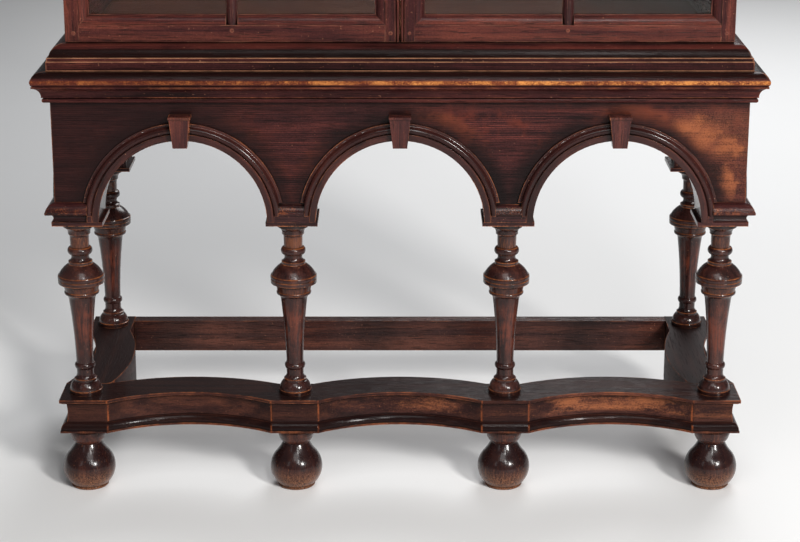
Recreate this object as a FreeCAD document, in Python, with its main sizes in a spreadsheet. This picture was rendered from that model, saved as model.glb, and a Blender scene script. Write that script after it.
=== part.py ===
import FreeCAD, Part
import Sketcher
import math
import os
import re
from FreeCAD import Vector, Rotation, Placement

# China cabinet: a glazed two-door case on an arcaded stand with turned legs.
# Millimetres, +Z up, the front faces -Y, origin at the middle of the footprint on the floor.

doc = FreeCAD.newDocument("china_cabinet")
dims = doc.addObject("Spreadsheet::Sheet", "dims")
val = {}


def cell(alias, number):
    """One row of the sheet: the name in column A and the number, aliased, in column B."""
    row = len(val) + 1
    text = "%.6g" % number
    dims.set("A%d" % row, alias)
    dims.set("B%d" % row, text)
    dims.setAlias("B%d" % row, alias)
    val[alias] = float(text)


for alias, number in (
    # plan of the stand
    ("bay", 366), ("leg_out", 549), ("leg_mid", 183),
    ("front_axis", -174), ("back_axis", 193), ("rear", 238), ("bay_mid", 9.5),
    # levels
    ("foot_top", 113), ("stretch_top", 173.5), ("leg_top", 486), ("plate_top", 493),
    ("cap_top", 527), ("board_low", 730), ("stand_top", 752), ("base_top", 794),
    ("case_top", 1880), ("cornice_low", 1812),
    # frieze, arches, posts
    ("frieze_x", 582), ("frieze_y", -210), ("frieze_thick", 22),
    ("arch_in", 142), ("lining_thick", 3), ("lining_deep", 74),
    ("post_half", 37.8), ("post_in", 511.2), ("post_back", -136), ("back_rail_low", 570),
    ("cap_half", 22), ("plate_in", 47), ("plate_out", 39), ("plate_front", 43), ("plate_back", 45),
    ("tenon_leg", 12), ("tenon_top", 8), ("fit", 0.05),
    # stretchers
    ("block_x", 590), ("block_front", -220), ("block_back", -136), ("hollow_r", 261),
    ("hollow_y", -439), ("side_hollow_r", 376.6), ("side_hollow_x", 937.6),
    ("board_x", 512), ("back_stretch", 27),
    # case
    ("case_x", 556), ("door_front", -184), ("door_back", -162), ("case_front", -161),
    ("side_thick", 24), ("board_front", 226), ("board_gap", 0.6), ("board_wide", 184.83),
    ("floor_thick", 18), ("stile_side", 60), ("panel_thick", 8), ("groove", 8), ("loose", 0.3),
    ("rail_a", 870), ("rail_b", 1290), ("rail_c", 1350), ("rail_d", 1790),
    ("shelf_a", 1126), ("shelf_b", 1441), ("shelf_thick", 18), ("shelf_front", -144),
    ("bearer", 18),
    # doors
    ("door_low", 795.5), ("door_high", 1790), ("rail_gap", 2), ("meet", 1.5),
    ("stile_flat", 23), ("rail_flat", 28), ("ovolo", 17), ("door_thick", 22), ("bar_wide", 19),
    ("bar_a", 340.8), ("bar_b", 653.7), ("peg", 2.75), ("glass_at", 12.2), ("glass_thick", 3),
    # hinges
    ("pin_x", 559.5), ("pin_y", -161.5), ("knuckle", 3), ("pin_r", 1.48), ("leaf_half", 30),
    ("leaf_in", 534), ("leaf_out", 555.8), ("leaf_thick", 1.6), ("leaf_shy", 0.2), ("knuckle_half", 10),
    ("hinge_a", 900), ("hinge_b", 1293), ("hinge_c", 1686),
    # lock and slide bolts
    ("key_x", 15), ("key_z", 1276), ("key_r", 2.4), ("lock_deep", 12), ("bolt_x", 14), ("bolt_y", -156.5), ("bolt_r", 3),
):
    cell(alias, number)

WORD = re.compile(r"[A-Za-z_][A-Za-z_0-9]*")


def ex(text):
    """An expression over the sheet's names, written out with the sheet in front of each."""
    return WORD.sub(lambda m: "dims." + m.group(0) if m.group(0) in val else m.group(0), str(text))


OUT = {}


def circle3(a, m, b):
    ax, ay, bx, by, cx, cy = a.x, a.y, m.x, m.y, b.x, b.y
    d = 2 * (ax * (by - cy) + bx * (cy - ay) + cx * (ay - by))
    ux = ((ax * ax + ay * ay) * (by - cy) + (bx * bx + by * by) * (cy - ay) + (cx * cx + cy * cy) * (ay - by)) / d
    uy = ((ax * ax + ay * ay) * (cx - bx) + (bx * bx + by * by) * (ax - cx) + (cx * cx + cy * cy) * (bx - ax)) / d
    c = Vector(ux, uy, 0)
    return c, (c - a).Length


def outline(prefix, pts):
    """Cells of a closed outline: each corner's distances from the sketch origin, and the radius of each arc.
    A corner of four numbers starts an arc to the next corner through its second pair."""
    for i, p in enumerate(pts):
        if abs(p[0]) > 1e-9:
            cell("%s_u%02d" % (prefix, i), p[0])
        if abs(p[1]) > 1e-9:
            cell("%s_v%02d" % (prefix, i), p[1])
        if len(p) == 4:
            q = pts[(i + 1) % len(pts)]
            _, r = circle3(Vector(p[0], p[1], 0), Vector(p[2], p[3], 0), Vector(q[0], q[1], 0))
            cell("%s_c%02d" % (prefix, i), r)
    OUT[prefix] = pts


# turned profiles: radius, height
outline("foot", [
    (0, 0), (31.4, 0), (32.6, 1.2), (32.6, 3), (31.2, 3.8, 45.5, 33.4), (36.3, 60.7, 28.88, 70.41), (23.15, 81.2),
    (23.6, 82, 27.9, 87.4), (30.6, 94.6, 32.2, 101), (30.8, 107.6), (29.6, 108.4), (29.6, 113), (12, 113), (12, 142.5), (0, 142.5)])
LEG0 = 144.0
outline("leg", [(r, z - LEG0) if m is None else (r, z - LEG0, m[0], m[1] - LEG0) for r, z, m in (
    (0, 144, None), (12, 144, None), (12, 173.5, None), (28.2, 173.5, None), (28.4, 180.6, None),
    (27.4, 181.4, (25.9, 188.4)), (20.8, 195.8, None), (19.5, 196.4, None), (19.5, 200.4, None), (18.2, 201.2, (15.7, 204.8)),
    (14.8, 211, None), (14.9, 218, (17.9, 223.8)), (14.9, 229.4, None), (14.7, 234, (17, 286)),
    (22.7, 345, (24.2, 350.6)), (27.6, 354.6, None), (29.3, 355.2, (30, 357.5)), (29.3, 359.8, None),
    (28.7, 360.6, (29.8, 366)), (30.9, 370.4, None), (33.4, 372.2, None), (39.3, 374.6, None), (39.7, 375.4, None),
    (39.7, 381.2, None), (38.9, 381.9, None), (39.7, 382.6, (40.1, 385.8)), (39.3, 389, None),
    (38.2, 389.8, (31.9, 399.2)), (21, 408.4, None), (20.5, 409, None), (20.5, 413.4, None), (18.4, 414.4, (16, 417.4)),
    (15.2, 421.6, None), (15.8, 425.4, None), (18.8, 426.4, (21.4, 432.3)), (18.8, 438.2, None), (16, 439.4, None),
    (16.4, 456.6, (16.9, 459.6)), (18.3, 461.6, None), (19.1, 462.2, None), (19.1, 465, (20.7, 470)),
    (25, 474.4, None), (26.6, 475, None), (26.6, 486, None), (8, 486, None), (8, 523, None), (0, 523, None))])
# mouldings: outwards, height above the foot of the run
outline("cap", [
    (0, 0), (6.5, 0, 3, 6.5), (6.5, 13), (14.5, 14.2), (16, 15.4), (16, 19), (15, 19.8, 9.9, 29.2), (0, 34)])
outline("cap_mid", [
    (0, 0), (9, 0), (9, 11.5), (10.6, 12.2), (11.4, 13), (11.4, 16), (10.6, 16.8, 7, 25), (0, 30)])
outline("crown", [
    (0, 0), (8, 0, 11.6, 4), (8, 8), (12.4, 9, 15.4, 20.4), (25, 27), (26.2, 27), (26.2, 29.6),
    (24.8, 30.6, 28, 37), (25.8, 43.4), (24.8, 45.2, 20.4, 49.8), (13, 52), (0, 52)])
outline("plinth", [
    (0, 0), (30, 0), (30, 15.4), (28.6, 16.2), (28.6, 21.4), (27, 22.2), (25, 22.2), (25, 23.2, 19.4, 35.4), (2, 42), (0, 42)])
outline("cornice", [
    (0, 0), (5, 0, 8.4, 4), (5, 8), (4, 9), (4, 16, 9.5, 33), (26, 41), (28, 41), (28, 45), (30, 46, 43.5, 52.5),
    (46, 66), (48, 66), (48, 70, 50.5, 74), (50, 79), (52, 82), (52, 88), (0, 88)])
# arch: radius, stand-off from the frieze
outline("lining", [(142, 0), (145, 0), (145, 74), (142, 74)])
outline("arch", [
    (142, 0), (171, 0), (171, 5), (169, 5, 166.6, 5.4), (165.2, 8.2, 160, 12.6), (154.8, 8.4), (153.6, 7.4), (153, 9), (142, 9)])
outline("key", [(5.5, 0), (29.5, 0), (35, 49), (0, 49)])
# frieze boards, arches cut out
Q = 145.05 * math.sqrt(0.5)


def arch_pts(c):
    return [(c - 145.05, 0, c - Q, Q), (c, 145.05, c + Q, Q), (c + 145.05, 0)]


outline("apron", [(0, 0)] + arch_pts(216) + arch_pts(582) + arch_pts(948) + [(1164, 0), (1164, 237), (0, 237)])
outline("apron_side", [(0, 0)] + arch_pts(197.5) + [(426, 0), (426, 237), (0, 237)])
# stretchers in plan
outline("stretch", [
    (0, 0), (82, 0, 224, 42), (366, 0), (448, 0, 590, 42), (732, 0), (814, 0, 956, 42), (1098, 0), (1180, 0),
    (1180, 84), (1108.03, 84, 956, 120), (803.97, 84), (742.03, 84, 590, 120), (437.97, 84), (376.03, 84, 224, 120),
    (71.97, 84), (0, 84)])
outline("stretch_side", [
    (39, 0.1), (110, 0.1), (110, 3, 82, 145.5), (110, 288), (110, 374), (32.2, 374), (32.2, 288, 9, 145.5), (31.2, 6)])
EDGE = [(-6, 3.2), (1.5, 3.2, 2.3, 11.2), (7.4, 16.6), (10.9, 17.2, 12.3, 34), (11, 50.5), (7.4, 51.4, 4.4, 52.4), (1.5, 55), (-6, 55)]


def moved(pts, shift):
    return [tuple(c + (shift if k % 2 == 0 else 0) for k, c in enumerate(p)) for p in pts]


outline("edge", moved(EDGE, 10))
outline("edge_front", moved(EDGE, 261))
outline("edge_side", moved(EDGE, 376.6))
# door members
OV = (23, 0), (23, 1.5), (24.5, 1.5, 33, 3.6), (38, 9), (40, 9), (40, 12), (33, 12), (33, 22), (0, 22)
outline("stile", [(0, 0)] + list(OV))
outline("meetstile", [(0, 2.3, 2.3, 0.3), (4.6, 2.3), (5.1, 3), (5.9, 0)] + list(OV))
outline("rail", [(0, 0), (22, 0), (22, 38), (12, 38), (12, 45), (9, 45), (9, 43, 3.6, 38), (1.5, 29.5), (1.5, 28), (0, 28)])
BAR = [(7, 0), (7, 1.2, 3, 3.7), (1, 8), (0, 8), (0, 12), (6, 12), (6, 22), (13, 22), (13, 12), (19, 12), (19, 8),
       (18, 8, 16, 3.7), (12, 1.2), (12, 0)]
outline("bar_up", BAR)
outline("bar_across", [tuple((p[1], p[0]) if len(p) == 2 else (p[1], p[0], p[3], p[2])) for p in BAR])
outline("mitre_a", [(0, 0), (32, 32), (0, 32)])
outline("mitre_b", [(32, 0), (32, 32), (0, 32)])
outline("mitre_end", [(0, 0), (37, 0), (37, 65), (0, 28)])
outline("bow", [(7, 0), (9, 1.2, 10.6, 3), (9, 4.8), (7, 6)])
doc.recompute()

PLANES = {"XY": "XY_Plane", "XZ": "XZ_Plane", "YZ": "YZ_Plane"}


def sketch(body, name, plane, prefix):
    """The outline as a sketch on one of the body's own planes, every corner and arc bound to its cells."""
    pts = OUT[prefix]
    sk = body.newObject("Sketcher::SketchObject", name)
    origin = [f for f in body.Origin.OriginFeatures if f.Role == PLANES[plane]][0]
    sk.AttachmentSupport = [(origin, "")]
    sk.MapMode = "FlatFace"
    n = len(pts)
    geo, ends = [], []
    for i in range(n):
        a, b = pts[i], pts[(i + 1) % n]
        va, vb = Vector(a[0], a[1], 0), Vector(b[0], b[1], 0)
        if len(a) == 4:
            vm = Vector(a[2], a[3], 0)
            c, r = circle3(va, vm, vb)
            t0, t1 = math.atan2(va.y - c.y, va.x - c.x), math.atan2(vb.y - c.y, vb.x - c.x)
            turn_left = (vm - va).cross(vb - vm).z > 0
            if not turn_left:
                t0, t1 = t1, t0
            if t1 < t0:
                t1 += 2 * math.pi
            geo.append(Part.ArcOfCircle(Part.Circle(c, Vector(0, 0, 1), r), t0, t1))
            ends.append((1, 2) if turn_left else (2, 1))
        else:
            geo.append(Part.LineSegment(va, vb))
            ends.append((1, 2))
    sk.addGeometry(geo, False)
    cons, bound = [], []
    for i in range(n):
        j = (i + 1) % n
        cons.append(Sketcher.Constraint("Coincident", i, ends[i][1], j, ends[j][0]))
    for i, p in enumerate(pts):
        for k, kind, axis, tag in ((0, "DistanceX", -2, "u"), (1, "DistanceY", -1, "v")):
            if abs(p[k]) > 1e-9:
                bound.append((len(cons), "%s_%s%02d" % (prefix, tag, i)))
                cons.append(Sketcher.Constraint(kind, -1, 1, i, ends[i][0], float(p[k])))
            else:
                cons.append(Sketcher.Constraint("PointOnObject", i, ends[i][0], axis))
        if len(p) == 4:
            bound.append((len(cons), "%s_c%02d" % (prefix, i)))
            cons.append(Sketcher.Constraint("Radius", i, geo[i].Radius))
    sk.addConstraint(cons)
    for k, alias in bound:
        sk.setExpression("Constraints[%d]" % k, "dims." + alias)
    return sk


def place(o, x, y, z, turn=None, axis=(0, 0, 1)):
    if turn is not None:
        o.Placement = Placement(Vector(0, 0, 0), Rotation(Vector(*axis), turn))
    for name, e in zip("xyz", (x, y, z)):
        o.setExpression("Placement.Base." + name, ex(e))
    return o


def prism(name, plane, prefix, length, x, y, z, turn=None):
    """A body padded from an outline. XY pads along +Z, YZ along +X, XZ along -Y."""
    body = doc.addObject("PartDesign::Body", name)
    sk = sketch(body, name + "_outline", plane, prefix)
    pad = body.newObject("PartDesign::Pad", name + "_pad")
    pad.Profile = sk
    pad.setExpression("Length", ex(length))
    return place(body, x, y, z, turn)


def turned(name, plane, prefix, angle, x, y, z, turn=None):
    """A body revolved from an outline about the second axis of its sketch."""
    body = doc.addObject("PartDesign::Body", name)
    sk = sketch(body, name + "_outline", plane, prefix)
    rev = body.newObject("PartDesign::Revolution", name + "_turn")
    rev.Profile = sk
    rev.ReferenceAxis = (sk, ["V_Axis"])
    rev.Angle = angle
    if angle < 360:
        rev.Reversed = True
    return place(body, x, y, z, turn)


def box(name, x0, x1, y0, y1, z0, z1):
    o = doc.addObject("Part::Box", name)
    for prop, a, b in (("Length", x0, x1), ("Width", y0, y1), ("Height", z0, z1)):
        o.setExpression(prop, ex("(%s) - (%s)" % (b, a)))
    return place(o, x0, y0, z0)


def rod(name, r, x, y, z0, z1):
    o = doc.addObject("Part::Cylinder", name)
    o.setExpression("Radius", ex(r))
    o.setExpression("Height", ex("(%s) - (%s)" % (z1, z0)))
    return place(o, x, y, z0)


def rod_y(name, r, x, z, y0, y1):
    o = doc.addObject("Part::Cylinder", name)
    o.setExpression("Radius", ex(r))
    o.setExpression("Height", ex("(%s) - (%s)" % (y1, y0)))
    return place(o, x, y0, z, -90, (1, 0, 0))


def fuse(name, shapes):
    o = doc.addObject("Part::MultiFuse", name)
    o.Shapes = shapes
    return o


def cut(name, base, tools):
    tool = tools[0] if len(tools) == 1 else fuse(name + "_tools", tools)
    o = doc.addObject("Part::Cut", name)
    o.Base = base
    o.Tool = tool
    return o


def group(name, members):
    o = doc.addObject("Part::Compound", name)
    o.Links = members
    return o


def mirror(name, source, normal=(1, 0, 0), base=(0, 0, 0)):
    o = doc.addObject("Part::Mirroring", name)
    o.Source = source
    o.Normal = Vector(*normal)
    o.Base = Vector(*base)
    return o


nodes = []


def node(o):
    nodes.append(o)
    return o


# ---------------------------------------------------------------- stand
PLACES = (
    ("front_left", "-leg_out", "front_axis"), ("front_midleft", "-leg_mid", "front_axis"),
    ("front_midright", "leg_mid", "front_axis"), ("front_right", "leg_out", "front_axis"),
    ("back_left", "-leg_out", "back_axis"), ("back_right", "leg_out", "back_axis"))
for where, x, y in PLACES:
    node(turned("foot_" + where, "XZ", "foot", 360, x, y, "0"))
    node(turned("leg_" + where, "XZ", "leg", 360, x, y, "stretch_top - 29.5"))


def bore_tools(tag, places):
    return [rod("bore_%s_%d" % (tag, i), "tenon_leg + fit", x, y, "foot_top - 1", "stretch_top + 1") for i, (_, x, y) in enumerate(places)]


# front stretcher: plan, bores, moulded edge on the fronts, ends and hollows
front_plan = prism("stretch_front_plan", "XY", "stretch", "stretch_top - foot_top", "-block_x", "block_front", "foot_top")
tools = bore_tools("front", PLACES[:4])
tools.append(prism("edge_cut_front", "YZ", "edge", "2*block_x + 40", "-block_x - 20", "block_front - 10", "foot_top"))
tools.append(prism("edge_cut_right", "YZ", "edge", "130", "block_x + 10", "block_front - 20", "foot_top", 90))
tools.append(prism("edge_cut_left", "YZ", "edge", "130", "-block_x - 10", "block_front + 110", "foot_top", -90))
for i, x in enumerate(("-bay", "0", "bay")):
    tools.append(turned("edge_cut_hollow_%d" % i, "XZ", "edge_front", 360, x, "hollow_y", "foot_top"))
for i, sign in enumerate("-+"):
    tools.append(box("mortise_front_%d" % i, "%sleg_out - 10" % sign, "%sleg_out + 10" % sign, "block_back - 20", "block_back + 1", "128", "158"))
node(cut("stretcher_front", front_plan, tools))

side_plan = prism("stretch_side_plan", "XY", "stretch_side", "stretch_top - foot_top", "480", "block_back", "foot_top")
side_tenon = box("stretch_side_tenon", "leg_out - 9.9", "leg_out + 9.9", "block_back - 19.5", "block_back + 1", "128.1", "157.9")
side_all = fuse("stretch_side_all", [side_plan, side_tenon])
tools = bore_tools("side", PLACES[5:])
tools.append(prism("edge_cut_side", "YZ", "edge", "420", "block_x + 10", "block_back - 10", "foot_top", 90))
tools.append(turned("edge_cut_side_hollow", "XZ", "edge_side", 360, "side_hollow_x", "bay_mid", "foot_top"))
tools.append(box("mortise_side", "board_x - 1", "board_x + 18", "rear - 21", "rear - 6", "125", "161"))
side_right = node(cut("stretcher_right", side_all, tools))
node(mirror("stretcher_left", side_right))
node(fuse("stretcher_back", [
    box("stretch_back_board", "-board_x + 0.2", "board_x - 0.2", "rear - back_stretch", "rear", "foot_top", "stretch_top - 0.5"),
    box("stretch_back_tenons", "-board_x - 17.6", "board_x + 17.6", "rear - 20.9", "rear - 6.1", "125.1", "160.9")]))

# posts behind the frieze, bored for the legs' top tenons
posts = []
for where, x, y in PLACES:
    if "mid" in where:
        block = box("post_block_" + where, x + " - post_half", x + " + post_half", "frieze_y + frieze_thick", "post_back", "plate_top", "board_low")
    else:
        lo, hi = ("-frieze_x + frieze_thick", "-post_in") if "left" in where else ("post_in", "frieze_x - frieze_thick")
        y0, y1 = ("frieze_y + frieze_thick", "post_back") if "front" in where else ("155", "rear - frieze_thick")
        block = box("post_block_" + where, lo, hi, y0, y1, "plate_top", "board_low")
    posts.append(cut("post_" + where, block, [rod("post_bore_" + where, "tenon_top + fit", x, y, "plate_top - 1", "plate_top + 31")]))
node(group("stand_posts", posts))

# frieze boards
node(prism("frieze_front", "XZ", "apron", "frieze_thick", "-frieze_x", "frieze_y + frieze_thick", "plate_top"))
node(prism("frieze_left", "YZ", "apron_side", "frieze_thick", "-frieze_x", "frieze_y + frieze_thick", "plate_top"))
node(prism("frieze_right", "YZ", "apron_side", "frieze_thick", "frieze_x - frieze_thick", "frieze_y + frieze_thick", "plate_top"))
node(box("frieze_back", "-frieze_x + frieze_thick", "frieze_x - frieze_thick", "rear - frieze_thick", "rear", "back_rail_low", "board_low"))

# arches: linings, keystones, mouldings
ARCHES = (("left_bay", "-bay", "frieze_y", 180), ("middle_bay", "0", "frieze_y", 180), ("right_bay", "bay", "frieze_y", 180),
          ("left_end", "-frieze_x", "bay_mid", 90), ("right_end", "frieze_x", "bay_mid", -90))
node(group("arch_linings", [
    turned("lining_" + n, "XY", "lining", 180, x, y, "plate_top", {180: 0, 90: -90, -90: 90}[t]) for n, x, y, t in ARCHES]))
keys = []
for n, x, y, t in ARCHES:
    if t == 180:
        stone = prism("keystone_body_" + n, "XZ", "key", "22", x + " - 17.5", y, "625")
        slab = box("keystone_cap_" + n, x + " - 18.6", x + " + 18.6", y + " - 24", y, "674", "678")
    else:
        out = "-" if t == 90 else "+"
        stone = prism("keystone_body_" + n, "XZ", "key", "22", x, y + (" + 17.5" if t == 90 else " - 17.5"), "625", -90 if t == 90 else 90)
        lo, hi = (x + " - 24", x) if t == 90 else (x, x + " + 24")
        slab = box("keystone_cap_" + n, lo, hi, "bay_mid - 18.6", "bay_mid + 18.6", "674", "678")
    keys.append(fuse("keystone_" + n, [stone, slab]))
node(group("keystones", keys))
clear = []
for where, x, y in PLACES:
    wide = "(cap_half + 0.05)"
    clear.append(box("capital_clear_" + where, "%s - %s" % (x, "70" if "left" in where and "mid" not in where else wide),
                     "%s + %s" % (x, "70" if "right" in where and "mid" not in where else wide),
                     "%s - 80" % y, "%s + %s" % (y, wide) if "front" in where else "%s + 80" % y, "plate_top - 1", "cap_top + 0.05")
                 if "front" in where else
                 box("capital_clear_" + where, "%s - 70" % x, "%s + 70" % x, "%s - cap_half - 0.05" % y, "%s + 80" % y, "plate_top - 1", "cap_top + 0.05"))
low_clear = []
for where, x, y in PLACES[:4]:
    low_clear.append(box("capital_low_clear_" + where, "%s - 30" % x, "%s + 30" % x, "%s - 80" % y, "frieze_y + 1", "plate_top - 1", "plate_top + 11.55"))
arches = []
for (n, x, y, t), stone in zip(ARCHES, keys):
    ring = turned("arch_ring_" + n, "XY", "arch", 180, x, y, "plate_top", t)
    near = {"left_bay": (0, 1), "middle_bay": (1, 2), "right_bay": (2, 3), "left_end": (0, 4), "right_end": (3, 5)}[n]
    arches.append(cut("arch_moulding_" + n, ring, [clear[k] for k in near] + ([low_clear[k] for k in near] if t == 180 else []) + [stone]))
node(group("arch_mouldings", arches))


# capitals: plate and mouldings, mitred round the outer corners
def mitre_box(name, x, y, far):
    """A square block turned to the diagonal of a right-hand outer corner, on the side run's side or the front run's."""
    o = doc.addObject("Part::Box", name)
    o.Length, o.Width, o.Height = 240, 120, 2600
    o.Placement = Placement(Vector(0, 0, 0), Rotation(Vector(0, 0, 1), -45))
    step = 120 / math.sqrt(2)
    dx, dy = (-step, step) if far else (-2 * step, 0)
    o.setExpression("Placement.Base.x", ex("%s + %.6f" % (x, dx)))
    o.setExpression("Placement.Base.y", ex("%s + %.6f" % (y, dy)))
    o.setExpression("Placement.Base.z", "-100")
    return o


corner_far = mitre_box("frieze_mitre_far", "frieze_x", "frieze_y", True)
corner_near = mitre_box("frieze_mitre_near", "frieze_x", "frieze_y", False)


def plate(where, x0, x1, y0, y1):
    return box("capital_plate_" + where, x0, x1, y0, y1, "leg_top", "plate_top")


def leg_hole(where, x, y):
    return rod("capital_bore_" + where, "tenon_top + fit", x, y, "leg_top - 1", "plate_top + 1")


mid_right = fuse("capital_all_midright", [
    plate("midright", "leg_mid - plate_back + 1", "leg_mid + plate_back - 1", "front_axis - plate_front", "front_axis + plate_back"),
    box("capital_band_midright", "leg_mid - 29.95", "leg_mid + 29.95", "frieze_y - 9", "frieze_y", "plate_top", "plate_top + 11.5"),
    prism("capital_run_midright", "YZ", "cap_mid", "2*cap_half", "leg_mid + cap_half", "frieze_y", "plate_top", 180)])
mid_right = cut("capital_midright", mid_right, [leg_hole("midright", "leg_mid", "front_axis")])
front_right = fuse("capital_all_right", [
    plate("right", "leg_out - plate_in", "leg_out + plate_out", "front_axis - plate_front", "front_axis + plate_back"),
    box("capital_band_right", "leg_out - 29.95", "leg_out - cap_half + 1", "frieze_y - 9", "frieze_y", "plate_top", "plate_top + 11.5"),
    cut("capital_front_mitred", prism("capital_run_front", "YZ", "cap", "frieze_x - leg_out + cap_half + 20", "frieze_x + 20", "frieze_y", "plate_top", 180), [corner_far]),
    cut("capital_side_mitred", prism("capital_run_side", "YZ", "cap", "front_axis + cap_half - frieze_y + 20", "frieze_x", "front_axis + cap_half", "plate_top", -90), [corner_near])])
front_right = cut("capital_right", front_right, [leg_hole("right", "leg_out", "front_axis")])
node(group("capitals_front", [mirror("capital_left", front_right), mirror("capital_midleft", mid_right), mid_right, front_right]))
back_right = fuse("capital_all_back", [
    plate("back", "leg_out - plate_in", "leg_out + plate_out", "back_axis - 44", "rear"),
    prism("capital_run_back", "YZ", "cap", "rear - back_axis + cap_half", "frieze_x", "rear", "plate_top", -90)])
back_right = cut("capital_back_right", back_right, [leg_hole("back", "leg_out", "back_axis")])
node(group("capitals_back", [mirror("capital_back_left", back_right), back_right]))

# top of the stand
node(box("stand_top_board", "-frieze_x", "frieze_x", "frieze_y", "rear", "board_low", "stand_top"))


def runs(tag, prefix, x, y, z, reach, far, near):
    """Front, left and right lengths of a moulding, mitred at the two front corners."""
    front = prism(tag + "_front_run", "YZ", prefix, "2*(%s) + 2*%s" % (x, reach), "%s + %s" % (x, reach), y, z, 180)
    front = cut(tag + "_front_a", front, [far])
    front = cut(tag + "_front", front, [mirror(tag + "_far_left", far)])
    right = cut(tag + "_right", prism(tag + "_right_run", "YZ", prefix, "rear - (%s) + %s" % (y, reach), x, "rear", z, -90), [near])
    return [front, mirror(tag + "_left", right), right]


node(group("stand_moulding", runs("stand_mould", "crown", "frieze_x", "frieze_y", "board_low - 30", "30", corner_far, corner_near)))

# ---------------------------------------------------------------- case
case_far = mitre_box("case_mitre_far", "case_x", "door_front", True)
case_near = mitre_box("case_mitre_near", "case_x", "door_front", False)
node(group("case_base_moulding", runs("case_base", "plinth", "case_x", "door_front", "stand_top", "32", case_far, case_near)))
node(group("cornice", runs("case_cornice", "cornice", "case_x", "door_front", "cornice_low", "54", case_far, case_near)))
node(group("case_rails", [
    box("case_base_rail", "-case_x", "case_x", "door_front", "case_front", "stand_top", "base_top"),
    box("case_frieze_rail", "-case_x", "case_x", "door_front", "case_front", "door_high + rail_gap", "case_top")]))
inner = "case_x - side_thick"
node(cut("case_bottom", box("case_bottom_board", "-case_x + side_thick", inner, "case_front", "board_front", "base_top - floor_thick", "base_top"),
         [rod("bolt_hole_low", "bolt_r + 0.5", "-bolt_x", "bolt_y", "base_top - floor_thick - 1", "base_top + 1")]))
node(box("case_top", "-case_x + side_thick", inner, "case_front", "board_front", "case_top - floor_thick", "case_top"))

# framed left side, the right one its mirror image
groove_lo, groove_hi = "-case_x + 9", "-case_x + 9 + panel_thick"
panels, grooves = [], []
for tag, z0, z1 in (("low", "rail_a", "rail_b"), ("high", "rail_c", "rail_d")):
    span = ("case_front + stile_side - groove", "board_front - stile_side + groove", z0 + " - groove", z1 + " + groove")
    tongue = box("panel_tongue_" + tag, groove_lo, groove_hi, *span)
    field = box("panel_field_" + tag, "-case_x + 5", "-case_x + 12", "case_front + stile_side + 34", "board_front - stile_side - 34", z0 + " + 34", z1 + " - 34")
    panels.append(fuse("side_panel_" + tag, [tongue, field]))
    grooves.append(box("panel_groove_" + tag, groove_lo + " - 0.1", groove_hi + " + 0.1", span[0] + " - loose", span[1] + " + loose", span[2] + " - loose", span[3] + " + loose"))
mortises, rails = [], []
for tag, z0, z1 in (("low", "stand_top", "rail_a"), ("mid", "rail_b", "rail_c"), ("high", "rail_d", "case_top")):
    body = box("side_rail_body_" + tag, "-case_x", "-case_x + side_thick", "case_front + stile_side", "board_front - stile_side", z0, z1)
    tenon = box("side_rail_tenon_" + tag, groove_lo, groove_hi, "case_front + stile_side - 30", "board_front - stile_side + 30", z0 + " + 15", z1 + " - 15")
    rails.append(cut("side_rail_" + tag, fuse("side_rail_all_" + tag, [body, tenon]), grooves))
    mortises.append(box("side_mortise_" + tag, groove_lo + " - 0.1", groove_hi + " + 0.1", "case_front + stile_side - 30.2", "board_front - stile_side + 30.2", z0 + " + 14.9", z1 + " - 14.9"))
HINGES = (("a", "hinge_a"), ("b", "hinge_b"), ("c", "hinge_c"))
seats = [box("case_leaf_seat_" + t, "-case_x - 1", "-leaf_in + 0.1", "case_front - 1", "pin_y + leaf_shy + leaf_thick + 0.02", z + " - leaf_half - 0.1", z + " + leaf_half + 0.1") for t, z in HINGES]
stile_front = cut("side_stile_front", box("side_stile_front_body", "-case_x", "-case_x + side_thick", "case_front", "case_front + stile_side", "stand_top", "case_top"), grooves + mortises + seats)
stile_back = cut("side_stile_back", box("side_stile_back_body", "-case_x", "-case_x + side_thick", "board_front - stile_side", "board_front", "stand_top", "case_top"), grooves + mortises)
left_frame = node(group("side_frame_left", [stile_front, stile_back] + rails))
node(mirror("side_frame_right", left_frame))
left_panels = group("side_panels_of_left", panels)
node(group("side_panels", [left_panels, mirror("side_panels_of_right", left_panels)]))
node(group("back_boards", [
    box("back_board_%d" % i, "-case_x + %d*(board_wide + board_gap)" % i, "-case_x + %d*(board_wide + board_gap) + board_wide" % i, "board_front", "rear", "stand_top", "case_top")
    for i in range(6)]))
for tag, z in (("lower", "shelf_a"), ("upper", "shelf_b")):
    node(box("shelf_" + tag, "-case_x + side_thick + 0.5", inner + " - 0.5", "shelf_front", "board_front - 1", z, z + " + shelf_thick"))
bearers = []
for tag, z in (("lower", "shelf_a"), ("upper", "shelf_b")):
    b = box("bearer_left_" + tag, "-case_x + side_thick", "-case_x + side_thick + bearer", "shelf_front + 14", "board_front - 20", z + " - bearer", z)
    bearers += [b, mirror("bearer_right_" + tag, b)]
node(group("shelf_bearers", bearers))

# ---------------------------------------------------------------- doors
DOOR_H = "(door_high - door_low)"
MID = (0, 0, (val["door_low"] + val["door_high"]) / 2)
DOOR_C = -(val["case_x"] + val["meet"]) / 2
hinge_stile = prism("hinge_stile_body", "XY", "stile", "door_high - door_low", "-case_x", "door_front", "door_low")
meet_stile = prism("meet_stile_body", "XY", "meetstile", "door_high - door_low", "meet", "door_front", "door_low")
end_low = prism("stile_end_low", "XZ", "mitre_end", "door_thick + 20", "-case_x + stile_flat", "door_back + 10", "door_low")
end_high = mirror("stile_end_high", end_low, (0, 0, 1), MID)
meet_low = prism("meet_end_low", "XZ", "mitre_end", "door_thick + 20", "meet + stile_flat", "door_back + 10", "door_low")
meet_high = mirror("meet_end_high", meet_low, (0, 0, 1), MID)


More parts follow.
